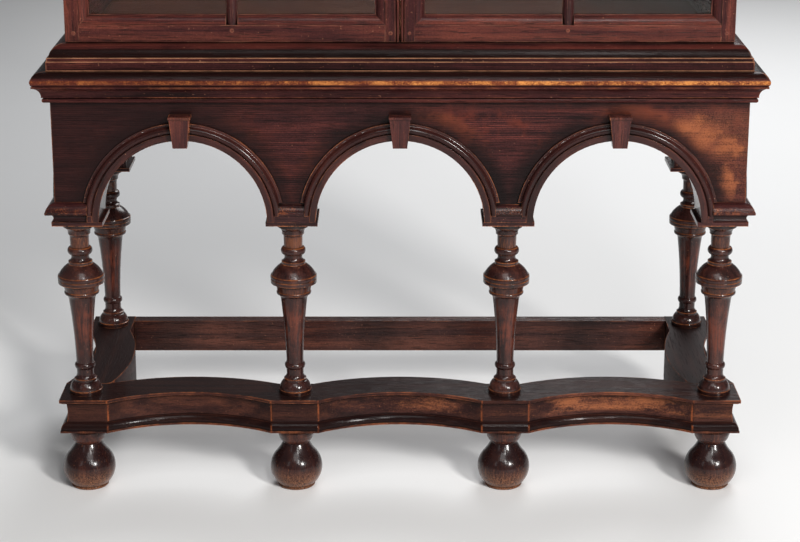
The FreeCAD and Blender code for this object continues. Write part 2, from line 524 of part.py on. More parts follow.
def notch(name, x0, x1, at):
    return box(name, x0, x1, "door_front - 1", "door_back + 1", "door_low + %s - bar_wide/2 - 0.05" % at, "door_low + %s + bar_wide/2 + 0.05" % at)


hinge_notches = [notch("hinge_notch_" + a, "-case_x + stile_flat", "-case_x + 60", a) for a in ("bar_a", "bar_b")]
meet_notches = [notch("meet_notch_" + a, "meet + stile_flat", "meet + 60", a) for a in ("bar_a", "bar_b")]


def tenon(name, x0, x1, slack):
    return box(name, x0, x1, "door_front + 7 - %s" % slack, "door_front + 15 + %s" % slack, "door_low + 5 - %s" % slack, "door_low + 24 + %s" % slack)


hinge_mortise = tenon("hinge_mortise_low", "-case_x + 4.9", "-case_x + stile_flat + 1", "0.1")
meet_mortise = tenon("meet_mortise_low", "meet + 6.9", "meet + stile_flat + 1", "0.1")
leaf_seats = [box("door_leaf_seat_" + t, "-case_x - 1", "-leaf_in + 0.1", "pin_y - leaf_shy - leaf_thick - 0.02", "door_back + 1", z + " - leaf_half - 0.1", z + " + leaf_half + 0.1") for t, z in HINGES]


def peg_at(name, x, up, r, y1="door_front + 19"):
    return rod_y(name, r, x, "door_low + " + up, "door_front - 0.2", y1)


peg_hinge = peg_at("peg_hinge_low", "-case_x + 14", "14.5", "peg")
peg_meet = peg_at("peg_meet_low", "-meet - 14", "14.5", "peg")
peg_bar = peg_at("peg_bar_low", "-(case_x + meet)/2", "19", "peg")
pegs = [peg_hinge, peg_meet, peg_bar]
pegs += [mirror(p.Name.replace("low", "high"), p, (0, 0, 1), MID) for p in list(pegs)]
hole_hinge = peg_at("hole_hinge_low", "-case_x + 14", "14.5", "peg + fit", "door_front + 19.1")
hole_meet = peg_at("hole_meet_low", "meet + 14", "14.5", "peg + fit", "door_front + 19.1")
hole_meet_left = peg_at("hole_meet_left_low", "-meet - 14", "14.5", "peg + fit", "door_front + 19.1")
hole_bar = peg_at("hole_bar_low", "-(case_x + meet)/2", "19", "peg + fit", "door_front + 19.1")
hinge_side = [hinge_mortise, hole_hinge]
hinge_side += [mirror(t.Name.replace("low", "high"), t, (0, 0, 1), MID) for t in list(hinge_side)]
meet_side = [meet_mortise, hole_meet]
meet_side += [mirror(t.Name.replace("low", "high"), t, (0, 0, 1), MID) for t in list(meet_side)]
hinge_stile = cut("hinge_stile", hinge_stile, [end_low, end_high] + hinge_notches + hinge_side + leaf_seats)
meet_plain = cut("meet_stile", meet_stile, [meet_low, meet_high] + meet_notches + meet_side)
meet_keyed = cut("meet_stile_keyed", meet_plain, [rod_y("key_hole", "key_r + 0.1", "key_x", "key_z", "door_front - 1", "door_back + 1")])
meet_left = mirror("meet_stile_left", meet_plain)
node(group("door_left_stiles", [hinge_stile, meet_left]))
node(group("door_right_stiles", [mirror("hinge_stile_right", hinge_stile), meet_keyed]))

bar_x = "-(case_x + meet)/2"
upright = prism("bar_upright", "XY", "bar_up", "%s - 2*rail_flat" % DOOR_H, bar_x + " - bar_wide/2", "door_front", "door_low + rail_flat")
bar_tenon = box("bar_tenon_low", bar_x + " - 3", bar_x + " + 3", "door_front + 8", "door_front + 14", "door_low + rail_flat - 16", "door_low + rail_flat + 2")
bar_tenon_high = mirror("bar_tenon_high", bar_tenon, (0, 0, 1), MID)
hole_bar_high = mirror("hole_bar_high", hole_bar, (0, 0, 1), MID)
upright_all = cut("bar_upright_all", fuse("bar_upright_tenoned", [upright, bar_tenon, bar_tenon_high]), [hole_bar, hole_bar_high])
rail_body = prism("rail_low_body", "YZ", "rail", "case_x - meet - 2*stile_flat", "-case_x + stile_flat", "door_front", "door_low")
rail_tenons = [tenon("rail_tenon_hinge", "-case_x + 5", "-case_x + stile_flat + 1", "0"), tenon("rail_tenon_meet", "-meet - stile_flat - 1", "-meet - 7", "0")]
rail_cuts = [
    prism("rail_mitre_a", "XZ", "mitre_a", "door_thick + 20", "-case_x + stile_flat", "door_back + 10", "door_low + rail_flat"),
    prism("rail_mitre_b", "XZ", "mitre_b", "door_thick + 20", "-meet - stile_flat - 32", "door_back + 10", "door_low + rail_flat"),
    box("rail_bar_notch", bar_x + " - bar_wide/2 - 0.05", bar_x + " + bar_wide/2 + 0.05", "door_front - 1", "door_back + 1", "door_low + rail_flat", "door_low + 60"),
    box("rail_bar_mortise", bar_x + " - 3.1", bar_x + " + 3.1", "door_front + 7.9", "door_front + 14.1", "door_low + rail_flat - 16.2", "door_low + rail_flat + 1"),
    hole_hinge, hole_meet_left, hole_bar]
rail_low = cut("rail_low", fuse("rail_low_all", [rail_body] + rail_tenons), rail_cuts)
rail_high = mirror("rail_high", rail_low, (0, 0, 1), MID)
left_rails = node(group("door_left_rails", [rail_low, rail_high]))
node(mirror("door_right_rails", left_rails))
bars = [upright_all]
for a in ("bar_a", "bar_b"):
    for side, x0, length in (("out", "-case_x + stile_flat + 0.05", "(case_x - meet)/2 - stile_flat - 0.05"), ("in", bar_x, "(case_x - meet)/2 - stile_flat - 0.05")):
        run = prism("bar_%s_%s_run" % (a, side), "YZ", "bar_across", length, x0, "door_front", "door_low + %s - bar_wide/2" % a)
        bars.append(cut("bar_%s_%s" % (a, side), run, [upright]))
left_bars = node(group("door_left_bars", bars))
node(mirror("door_right_bars", left_bars))
panes = []
for c, (x0, x1) in enumerate((("-case_x + 33.4", bar_x + " - 3.9"), (bar_x + " + 3.9", "-meet - 33.4"))):
    for r, (z0, z1) in enumerate((("38.4", "bar_a - 3.9"), ("bar_a + 3.9", "bar_b - 3.9"), ("bar_b + 3.9", "door_high - door_low - 38.4"))):
        panes.append(box("pane_%d%d" % (c, r), x0, x1, "door_front + glass_at", "door_front + glass_at + glass_thick", "door_low + " + z0, "door_low + " + z1))
left_panes = node(group("door_left_panes", panes))
node(mirror("door_right_panes", left_panes))
left_pegs = node(group("door_left_pegs", pegs))
node(mirror("door_right_pegs", left_pegs))

# butt hinges, built on the left
case_leaves, door_leaves = [], []
for t, z in HINGES:
    ya, yb = "pin_y + leaf_shy", "pin_y + leaf_shy + leaf_thick"
    parts = [box("case_leaf_plate_" + t, "-leaf_out", "-leaf_in", ya, yb, z + " - leaf_half", z + " + leaf_half")]
    for k, (lo, hi) in enumerate((("-leaf_half", "-knuckle_half - 0.2"), ("+knuckle_half + 0.2", "+leaf_half"))):
        parts.append(box("case_leaf_tab_%s%d" % (t, k), "-pin_x", "-leaf_out + 0.5", ya, yb, z + lo, z + hi))
        parts.append(rod("case_knuckle_%s%d" % (t, k), "knuckle", "-pin_x", "pin_y", z + lo, z + hi))
    case_leaves.append(cut("case_leaf_" + t, fuse("case_leaf_all_" + t, parts), [rod("case_leaf_bore_" + t, "pin_r + 0.02", "-pin_x", "pin_y", z + " - 40", z + " + 40")]))
    case_leaves.append(rod("hinge_pin_" + t, "pin_r", "-pin_x", "pin_y", z + " - leaf_half - 0.8", z + " + leaf_half + 0.8"))
    ya, yb = "pin_y - leaf_shy - leaf_thick", "pin_y - leaf_shy"
    parts = [box("door_leaf_plate_" + t, "-leaf_out", "-leaf_in", ya, yb, z + " - leaf_half", z + " + leaf_half"),
             box("door_leaf_tab_" + t, "-pin_x", "-leaf_out + 0.5", ya, yb, z + " - knuckle_half + 0.2", z + " + knuckle_half - 0.2"),
             rod("door_knuckle_" + t, "knuckle", "-pin_x", "pin_y", z + " - knuckle_half + 0.2", z + " + knuckle_half - 0.2")]
    door_leaves.append(cut("door_leaf_" + t, fuse("door_leaf_all_" + t, parts), [rod("door_leaf_bore_" + t, "pin_r + 0.06", "-pin_x", "pin_y", z + " - 40", z + " + 40")]))
left_case_leaves = group("hinge_case_of_left", case_leaves)
node(group("hinge_case_halves", [left_case_leaves, mirror("hinge_case_of_right", left_case_leaves)]))
left_leaves = node(group("hinge_leaves_left", door_leaves))
node(mirror("hinge_leaves_right", left_leaves))

# lock on the right door: box, bolt, key, escutcheon
lock_box = box("lock_body", "3", "35", "door_back", "door_back + lock_deep", "key_z - 14", "key_z + 32")
node(cut("lock_case", lock_box, [
    box("lock_channel", "2", "33.5", "door_back + 2.9", "door_back + 9.1", "key_z + 14.9", "key_z + 25.1"),
    rod_y("lock_ward", "8.5", "key_x", "key_z", "door_back - 1", "door_back + 9")]))
node(box("lock_bolt", "3.2", "31.5", "door_back + 3", "door_back + 9", "key_z + 15", "key_z + 25"))
node(fuse("key", [
    rod_y("key_shank", "key_r", "key_x", "key_z", "door_front - 13", "door_back + 8.4"),
    rod_y("key_collar", "3.6", "key_x", "key_z", "door_front - 8", "door_front - 5"),
    box("key_bit", "key_x - 0.9", "key_x + 0.9", "door_back + 2", "door_back + 7", "key_z + 1", "key_z + 7.6"),
    place(turned("key_bow", "XY", "bow", 360, "0", "0", "0"), "key_x + 3", "door_front - 20.6", "key_z", 90)]))
node(cut("escutcheon", fuse("escutcheon_plate", [
    box("escutcheon_mid", "key_x - 6.5", "key_x + 6.5", "door_front - 1.2", "door_front", "key_z - 11", "key_z + 11"),
    rod_y("escutcheon_top", "6.5", "key_x", "key_z + 11", "door_front - 1.2", "door_front"),
    rod_y("escutcheon_low", "6.5", "key_x", "key_z - 11", "door_front - 1.2", "door_front")]),
    [rod_y("escutcheon_hole", "key_r + 0.3", "key_x", "key_z", "door_front - 2", "door_front + 1")]))

# slide bolts on the back of the left door's meeting stile, drawn back at rest
keepers = []
for tag, low, tip, knob in (("lower", "door_low + 18", "door_low + 2", "door_low + 48"), ("upper", "door_high - 92", "door_high - 2", "door_high - 48")):
    top = "door_low + 104" if tag == "lower" else "door_high - 4"
    if tag == "lower":
        zs = (("door_low + 14", "door_low + 24"), ("door_low + 74", "door_low + 84"))
        r0, r1 = "door_low + 2", "door_low + 96"
    else:
        zs = (("door_high - 24", "door_high - 14"), ("door_high - 84", "door_high - 74"))
        r0, r1 = "door_high - 96", "door_high - 2"
    node(fuse("bolt_" + tag, [
        rod("bolt_rod_" + tag, "bolt_r", "-bolt_x", "bolt_y", r0, r1),
        rod("bolt_knob_" + tag, "5", "-bolt_x", "bolt_y", knob + " - 5", knob + " + 5")]))
    for k, (z0, z1) in enumerate(zs):
        block = box("keeper_block_%s%d" % (tag, k), "-bolt_x - 7", "-bolt_x + 7", "door_back", "bolt_y + 5", z0, z1)
        keepers.append(cut("keeper_%s%d" % (tag, k), block, [rod("keeper_bore_%s%d" % (tag, k), "bolt_r + 0.08", "-bolt_x", "bolt_y", z0 + " - 1", z1 + " + 1")]))
node(group("bolt_keepers", keepers))

# ---------------------------------------------------------------- check and write
doc.recompute()
bad = []
for o in doc.Objects:
    if "Invalid" in o.State or "Error" in o.State:
        bad.append("%s %s" % (o.Name, o.State))
for o in nodes:
    s = o.Shape
    if s.isNull() or not s.isValid() or not s.Solids:
        bad.append("%s: no valid solid" % o.Name)
if bad:
    raise RuntimeError("; ".join(bad))
os.makedirs("parts", exist_ok=True)
for o in nodes:
    o.Shape.exportStep("parts/%s.step" % o.Label)
    b = o.Shape.optimalBoundingBox(False)
    print("%-22s solids %2d  vol %10.1f  x %7.1f..%7.1f  y %7.1f..%7.1f  z %7.1f..%7.1f" % (
        o.Label, len(o.Shape.Solids), o.Shape.Volume, b.XMin, b.XMax, b.YMin, b.YMax, b.ZMin, b.ZMax))
print("nodes", len(nodes))
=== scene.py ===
import math
import bpy
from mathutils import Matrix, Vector


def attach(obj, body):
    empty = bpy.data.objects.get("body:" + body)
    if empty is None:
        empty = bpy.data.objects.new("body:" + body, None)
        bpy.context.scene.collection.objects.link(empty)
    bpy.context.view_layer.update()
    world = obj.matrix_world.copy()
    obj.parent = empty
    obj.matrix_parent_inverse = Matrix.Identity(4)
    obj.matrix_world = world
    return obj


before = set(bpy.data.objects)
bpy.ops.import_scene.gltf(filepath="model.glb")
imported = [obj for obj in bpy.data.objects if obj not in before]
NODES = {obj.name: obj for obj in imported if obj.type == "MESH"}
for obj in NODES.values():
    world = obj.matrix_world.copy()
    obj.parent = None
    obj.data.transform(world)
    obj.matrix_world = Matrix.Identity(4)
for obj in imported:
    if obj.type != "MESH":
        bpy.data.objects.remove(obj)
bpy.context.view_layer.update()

scene = bpy.context.scene


# ---------------------------------------------------------------- node helpers
class Net:
    """A small writer for shader node trees."""

    def __init__(self, name):
        self.mat = bpy.data.materials.new(name)
        self.mat.use_nodes = True
        self.tree = self.mat.node_tree
        self.tree.nodes.clear()
        self.out = self.tree.nodes.new("ShaderNodeOutputMaterial")

    def put(self, socket, value):
        if isinstance(value, bpy.types.NodeSocket):
            self.tree.links.new(value, socket)
        elif isinstance(value, (tuple, list)) and socket.type == "RGBA" and len(value) == 3:
            socket.default_value = (*value, 1.0)
        else:
            socket.default_value = value

    def n(self, kind, ins=None, **props):
        node = self.tree.nodes.new(kind)
        for k, v in props.items():
            setattr(node, k, v)
        for k, v in (ins or {}).items():
            self.put(node.inputs[k], v)
        return node

    def math(self, op, a, b=None, c=None, clamp=False):
        node = self.n("ShaderNodeMath", operation=op, use_clamp=clamp)
        for i, v in enumerate((a, b, c)):
            if v is not None:
                self.put(node.inputs[i], v)
        return node.outputs[0]

    def vec(self, op, a, b=None):
        node = self.n("ShaderNodeVectorMath", operation=op)
        self.put(node.inputs[0], a)
        if b is not None:
            self.put(node.inputs[3 if op == "SCALE" else 1], b)
        return node.outputs["Value" if op in ("DOT_PRODUCT", "LENGTH", "DISTANCE") else "Vector"]

    def xyz(self, x, y, z):
        return self.n("ShaderNodeCombineXYZ", {0: x, 1: y, 2: z}).outputs[0]

    def split(self, v):
        return self.n("ShaderNodeSeparateXYZ", {0: v}).outputs

    def noise(self, v, scale, detail=2.0, rough=0.5, warp=0.0):
        return self.n("ShaderNodeTexNoise", {"Vector": v, "Scale": scale, "Detail": detail, "Roughness": rough, "Distortion": warp}).outputs[0]

    def span(self, v, a, b, c=0.0, d=1.0, smooth=True):
        return self.n("ShaderNodeMapRange", {0: v, 1: a, 2: b, 3: c, 4: d}, interpolation_type="SMOOTHSTEP" if smooth else "LINEAR").outputs[0]

    def mix(self, f, a, b, kind="MIX"):
        node = self.n("ShaderNodeMix", data_type="RGBA", blend_type=kind)
        self.put(node.inputs[0], f)
        self.put(node.inputs[6], a)
        self.put(node.inputs[7], b)
        return node.outputs[2]

    def lerp(self, f, a, b):
        node = self.n("ShaderNodeMix", data_type="FLOAT")
        self.put(node.inputs[0], f)
        self.put(node.inputs[2], a)
        self.put(node.inputs[3], b)
        return node.outputs[0]

    def finish(self, shader):
        self.tree.links.new(shader, self.out.inputs[0])
        return self.mat


# ---------------------------------------------------------------- wood
def grain_run(g, p, axis):
    """The coordinate along the grain first, then the two across it."""
    x, y, z = g.split(p)
    if axis == "X":
        return x, y, z
    if axis == "Y":
        return y, x, z
    if axis == "Z":
        return z, x, y
    if axis == "arch":                        # bent round the arch, front bays and side bays
        side = g.math("GREATER_THAN", g.math("ABSOLUTE", x), 0.512)
        along = g.math("SUBTRACT", x, g.math("MULTIPLY", g.math("ROUND", g.math("DIVIDE", x, 0.366)), 0.366))
        along = g.lerp(side, along, g.math("SUBTRACT", y, 0.0095))
        dz = g.math("SUBTRACT", z, 0.493)
        r = g.math("SQRT", g.math("ADD", g.math("MULTIPLY", along, along), g.math("MULTIPLY", dz, dz)))
        return g.math("MULTIPLY", g.math("ARCTAN2", along, dz), 0.155), r, g.lerp(side, y, x)
    if axis[0] == "mitre":                    # three-sided moulding: side runs lie outside the mitre line
        side = g.math("GREATER_THAN", g.math("SUBTRACT", g.math("ABSOLUTE", x), axis[1]), g.math("SUBTRACT", g.math("MULTIPLY", y, -1.0), axis[2]))
        return g.lerp(side, x, y), g.lerp(side, y, x), z
    if axis[0] == "bars":                     # one upright among cross bars
        near = g.math("LESS_THAN", g.math("ABSOLUTE", g.math("SUBTRACT", g.math("ABSOLUTE", x), axis[1])), axis[2])
        return g.lerp(near, x, z), y, g.lerp(near, z, x)
    if axis[0] == "side":                     # stiles at both ends of a side, rails between
        inside = g.math("MULTIPLY", g.math("GREATER_THAN", y, axis[1]), g.math("LESS_THAN", y, axis[2]))
        return g.lerp(inside, z, y), x, g.lerp(inside, y, z)
    raise ValueError(axis)


def wood(name, axis, dark=(0.0055, 0.0022, 0.0024), mid=(0.037, 0.0094, 0.0092), light=(0.124, 0.0315, 0.0210),
         worn=(0.36, 0.115, 0.045), wear_and_glint=0.9, edge=0.0017, rough=0.25, polish=0.13, figure=1.0, hollow=0.020,
         grime_and_shade_amount=0.85, extra=None, pores=1.0, tone=0.0, scuff=0.35, shine=0.17, hatch=0.40, streaky=0.75, fine=520.0, comb=0.0, relief=0.5, across=62.0, mottle=0.34, matt=0.0):
    g = Net(name)
    tc = g.n("ShaderNodeTexCoord").outputs["Object"]
    rnd = g.n("ShaderNodeObjectInfo").outputs["Random"]
    shift = g.vec("SCALE", g.xyz(7.3, 3.1, 5.7), rnd)
    u, v, w = grain_run(g, tc, axis)
    run = g.vec("ADD", g.xyz(u, v, w), shift)
    # slow bend of the fibres
    bend = g.n("ShaderNodeTexNoise", {"Vector": g.vec("MULTIPLY", run, (1.2, 6.0, 6.0)), "Scale": 1.0, "Detail": 2.0}).outputs[1]
    run = g.vec("ADD", run, g.vec("MULTIPLY", g.vec("SUBTRACT", bend, (0.5, 0.5, 0.5)), (0.0, 0.016, 0.016)))
    streak = g.noise(g.vec("MULTIPLY", run, (1.6, across, across)), 1.0, 6.0, 0.62)
    fibre = g.noise(g.vec("MULTIPLY", run, (9.0, fine, fine)), 1.0, 3.0, 0.6)
    rings = g.split(run)
    band = g.math("ADD", g.math("MULTIPLY", rings[1], 78.0), g.math("MULTIPLY", rings[2], 64.0))
    band = g.math("ADD", band, g.math("MULTIPLY", g.noise(g.vec("MULTIPLY", run, (1.1, 9.0, 9.0)), 1.0, 2.0), 7.0))
    band = g.math("PINGPONG", band, 1.0)
    pore = g.span(g.noise(g.vec("MULTIPLY", run, (30.0, 560.0, 560.0)), 1.0, 1.0), 0.55, 0.68)
    here = g.vec("ADD", tc, shift)
    patch = g.noise(here, 5.5, 5.0, 0.6)
    cloud = g.noise(here, 1.9, 3.0, 0.55)
    fleck = g.noise(g.vec("MULTIPLY", run, (75.0, 400.0, 400.0)), 1.0, 5.0, 0.72)
    grit = g.noise(here, 430.0, 4.0, 0.68)
    # hollows and edges
    ao = g.n("ShaderNodeAmbientOcclusion", {"Distance": hollow}, samples=6).outputs["AO"]
    nb = g.n("ShaderNodeBevel", {"Radius": 0.0005}, samples=4).outputs[0]
    geo = g.n("ShaderNodeNewGeometry").outputs
    within = g.n("ShaderNodeAmbientOcclusion", {"Distance": edge}, samples=8, inside=True, only_local=True).outputs["AO"]
    arris = g.math("MULTIPLY", g.span(within, 0.94, 0.66), g.span(ao, 0.16, 0.46))
    brk = g.noise(here, 34.0, 6.0, 0.68)
    brk2 = g.noise(here, 6.5, 3.0, 0.6)
    gate = g.math("ADD", g.math("MULTIPLY", brk, 0.75), g.math("MULTIPLY", brk2, 0.55))
    rub = g.math("MULTIPLY", arris, g.span(gate, 0.54, 0.84))
    # colour
    tonal = g.math("ADD", g.math("MULTIPLY", g.math("SUBTRACT", streak, 0.5), streaky), g.math("MULTIPLY", band, 0.16 * figure))
    tonal = g.math("ADD", tonal, g.math("MULTIPLY", patch, 0.62))
    tonal = g.math("ADD", tonal, g.math("MULTIPLY", cloud, 0.50))
    tonal = g.math("ADD", tonal, g.math("MULTIPLY", g.math("SUBTRACT", fibre, 0.5), hatch))
    if comb:                                  # close parallel lines left by the plane
        wave = g.math("ADD", g.math("MULTIPLY", rings[2], 1800.0), g.math("MULTIPLY", g.noise(g.vec("MULTIPLY", run, (3.0, 40.0, 40.0)), 1.0, 2.0), 9.0))
        wave = g.math("MULTIPLY", g.math("SINE", wave), g.span(patch, 0.35, 0.60, 0.25, 1.0))
        tonal = g.math("ADD", tonal, g.math("MULTIPLY", wave, comb))
    tonal = g.math("ADD", tonal, 0.495 + tone)
    col = g.mix(g.span(tonal, 0.78, 1.16), dark, mid)
    col = g.mix(g.span(tonal, 1.10, 1.56), col, light)
    col = g.mix(g.math("MULTIPLY", pore, 0.62 * pores), col, (0.0045, 0.0016, 0.0012))
    # rubbed surface where the polish thinned
    thin = g.math("MULTIPLY", g.span(g.math("ADD", g.math("MULTIPLY", brk, 0.7), g.math("MULTIPLY", patch, 0.6)), 0.74, 0.98), scuff)
    col = g.mix(thin, col, light)
    speck = g.math("MULTIPLY", g.span(g.noise(here, 330.0, 1.0, 0.5), 0.735, 0.775), 0.7)
    col = g.mix(speck, col, (0.30, 0.13, 0.075))
    col = g.mix(1.0, col, g.span(grit, 0.30, 0.70, 1.0 - mottle, 1.0 + mottle * 1.1, smooth=False), "MULTIPLY")
    # painted shade with some grime: darker in hollows, creases and near other parts, driven by ambient occlusion
    grime_and_shade = g.math("MULTIPLY", g.span(ao, 0.90, 0.36), grime_and_shade_amount)
    col = g.mix(grime_and_shade, col, (0.0034, 0.0015, 0.0012))
    if extra:
        col = extra(g, tc, col, {"patch": patch, "streak": streak, "brk": brk, "fibre": fibre, "cloud": cloud, "fleck": fleck, "grit": grit,
                                 "geo": geo, "ao": ao, "worn": worn, "light": light, "pore": pore})
    # pale colour on the convex arrises: partly real wear, partly a painted highlight off the rounded edges
    half = g.mix(0.45, light, worn)
    col = g.mix(g.math("MULTIPLY", rub, 0.92 * wear_and_glint, clamp=True), col, g.mix(g.span(brk, 0.40, 0.64), half, worn))
    # surface
    rgh = g.math("ADD", rough, g.math("MULTIPLY", g.math("SUBTRACT", patch, 0.5), 0.16))
    rgh = g.math("ADD", rgh, g.math("MULTIPLY", pore, 0.14))
    rgh = g.math("ADD", rgh, g.math("MULTIPLY", rub, 0.12))
    if matt:                                  # dust keeps the upper faces dull
        rgh = g.math("ADD", rgh, g.math("MULTIPLY", g.span(g.split(geo["Normal"])[2], 0.75, 0.95), matt))
    rgh = g.math("ADD", rgh, g.math("MULTIPLY", grime_and_shade, 0.20), clamp=True)
    dents = g.noise(here, 42.0, 3.0, 0.55)
    high = g.math("ADD", g.math("MULTIPLY", pore, -0.45), g.math("MULTIPLY", fibre, 0.25))
    high = g.math("ADD", high, g.math("MULTIPLY", dents, 0.5))
    high = g.math("ADD", high, g.math("MULTIPLY", streak, 0.4))
    bump = g.n("ShaderNodeBump", {"Strength": relief, "Distance": 0.0005, "Height": high, "Normal": nb}).outputs[0]
    bs = g.n("ShaderNodeBsdfPrincipled", {"Base Color": col, "Roughness": rgh, "Normal": bump, "Coat Normal": bump})
    bs.inputs["Specular IOR Level"].default_value = shine
    bs.inputs["Coat Weight"].default_value = polish
    bs.inputs["Coat Roughness"].default_value = 0.10
    bs.inputs["Coat IOR"].default_value = 1.48
    return g.finish(bs.outputs[0])


# ---------------------------------------------------------------- other materials
def glass(name):
    g = Net(name)
    tc = g.n("ShaderNodeTexCoord").outputs["Object"]
    rip = g.noise(tc, 9.0, 2.0, 0.5)
    reed = g.noise(g.vec("MULTIPLY", tc, (30.0, 30.0, 3.0)), 1.0, 2.0, 0.5)
    dust = g.span(g.noise(tc, 24.0, 6.0, 0.7), 0.50, 0.78)
    film = g.math("ADD", 0.012, g.math("MULTIPLY", dust, 0.06))
    high = g.math("ADD", rip, g.math("MULTIPLY", reed, 0.25))
    bump = g.n("ShaderNodeBump", {"Strength": 0.12, "Distance": 0.004, "Height": high}).outputs[0]
    col = g.mix(g.math("MULTIPLY", dust, 0.25), (0.90, 0.85, 0.80), (0.80, 0.74, 0.68))
    bs = g.n("ShaderNodeBsdfPrincipled", {"Base Color": col, "Roughness": film, "Normal": bump})
    bs.inputs["Transmission Weight"].default_value = 1.0
    bs.inputs["IOR"].default_value = 1.32
    clear = g.n("ShaderNodeBsdfTransparent", {"Color": (0.66, 0.60, 0.54)})
    lamp = g.n("ShaderNodeLightPath").outputs["Is Shadow Ray"]
    return g.finish(g.n("ShaderNodeMixShader", {0: lamp, 1: bs.outputs[0], 2: clear.outputs[0]}).outputs[0])


def metal(name, clean, dull, pit, rough, streaks=1.0):
    g = Net(name)
    tc = g.n("ShaderNodeTexCoord").outputs["Object"]
    blot = g.noise(tc, 60.0, 5.0, 0.65)
    fine = g.noise(tc, 620.0, 3.0, 0.6)
    rub = g.noise(g.vec("MULTIPLY", tc, (90.0, 90.0, 700.0)), 1.0, 2.0, 0.5)
    ao = g.n("ShaderNodeAmbientOcclusion", {"Distance": 0.006}, samples=6).outputs["AO"]
    nb = g.n("ShaderNodeBevel", {"Radius": 0.0005}, samples=4).outputs[0]
    col = g.mix(g.span(blot, 0.40, 0.66), clean, dull)
    col = g.mix(g.span(fine, 0.58, 0.74), col, pit)
    col = g.mix(g.span(ao, 0.90, 0.40), col, pit)
    rgh = g.math("ADD", rough, g.math("MULTIPLY", blot, 0.22))
    rgh = g.math("ADD", rgh, g.math("MULTIPLY", rub, 0.08 * streaks), clamp=True)
    high = g.math("ADD", g.math("MULTIPLY", fine, 0.4), g.math("MULTIPLY", blot, 0.5))
    bump = g.n("ShaderNodeBump", {"Strength": 0.4, "Distance": 0.0003, "Height": high, "Normal": nb}).outputs[0]
    bs = g.n("ShaderNodeBsdfPrincipled", {"Base Color": col, "Roughness": rgh, "Normal": bump})
    bs.inputs["Metallic"].default_value = 1.0
    return g.finish(bs.outputs[0])


def floor_material():
    g = Net("floor_pale")
    tc = g.n("ShaderNodeTexCoord").outputs["Object"]
    soft = g.noise(tc, 1.3, 3.0, 0.5)
    col = g.mix(soft, (0.79, 0.79, 0.79), (0.82, 0.82, 0.82))
    bs = g.n("ShaderNodeBsdfPrincipled", {"Base Color": col, "Roughness": 0.62})
    bs.inputs["Specular IOR Level"].default_value = 0.25
    return g.finish(bs.outputs[0])


# ---------------------------------------------------------------- local finish
def belt(g, v, a, b, soft):
    """1 between a and b, falling to 0 over soft outside them."""
    return g.math("MULTIPLY", g.span(v, a - soft, a), g.span(v, b + soft, b))


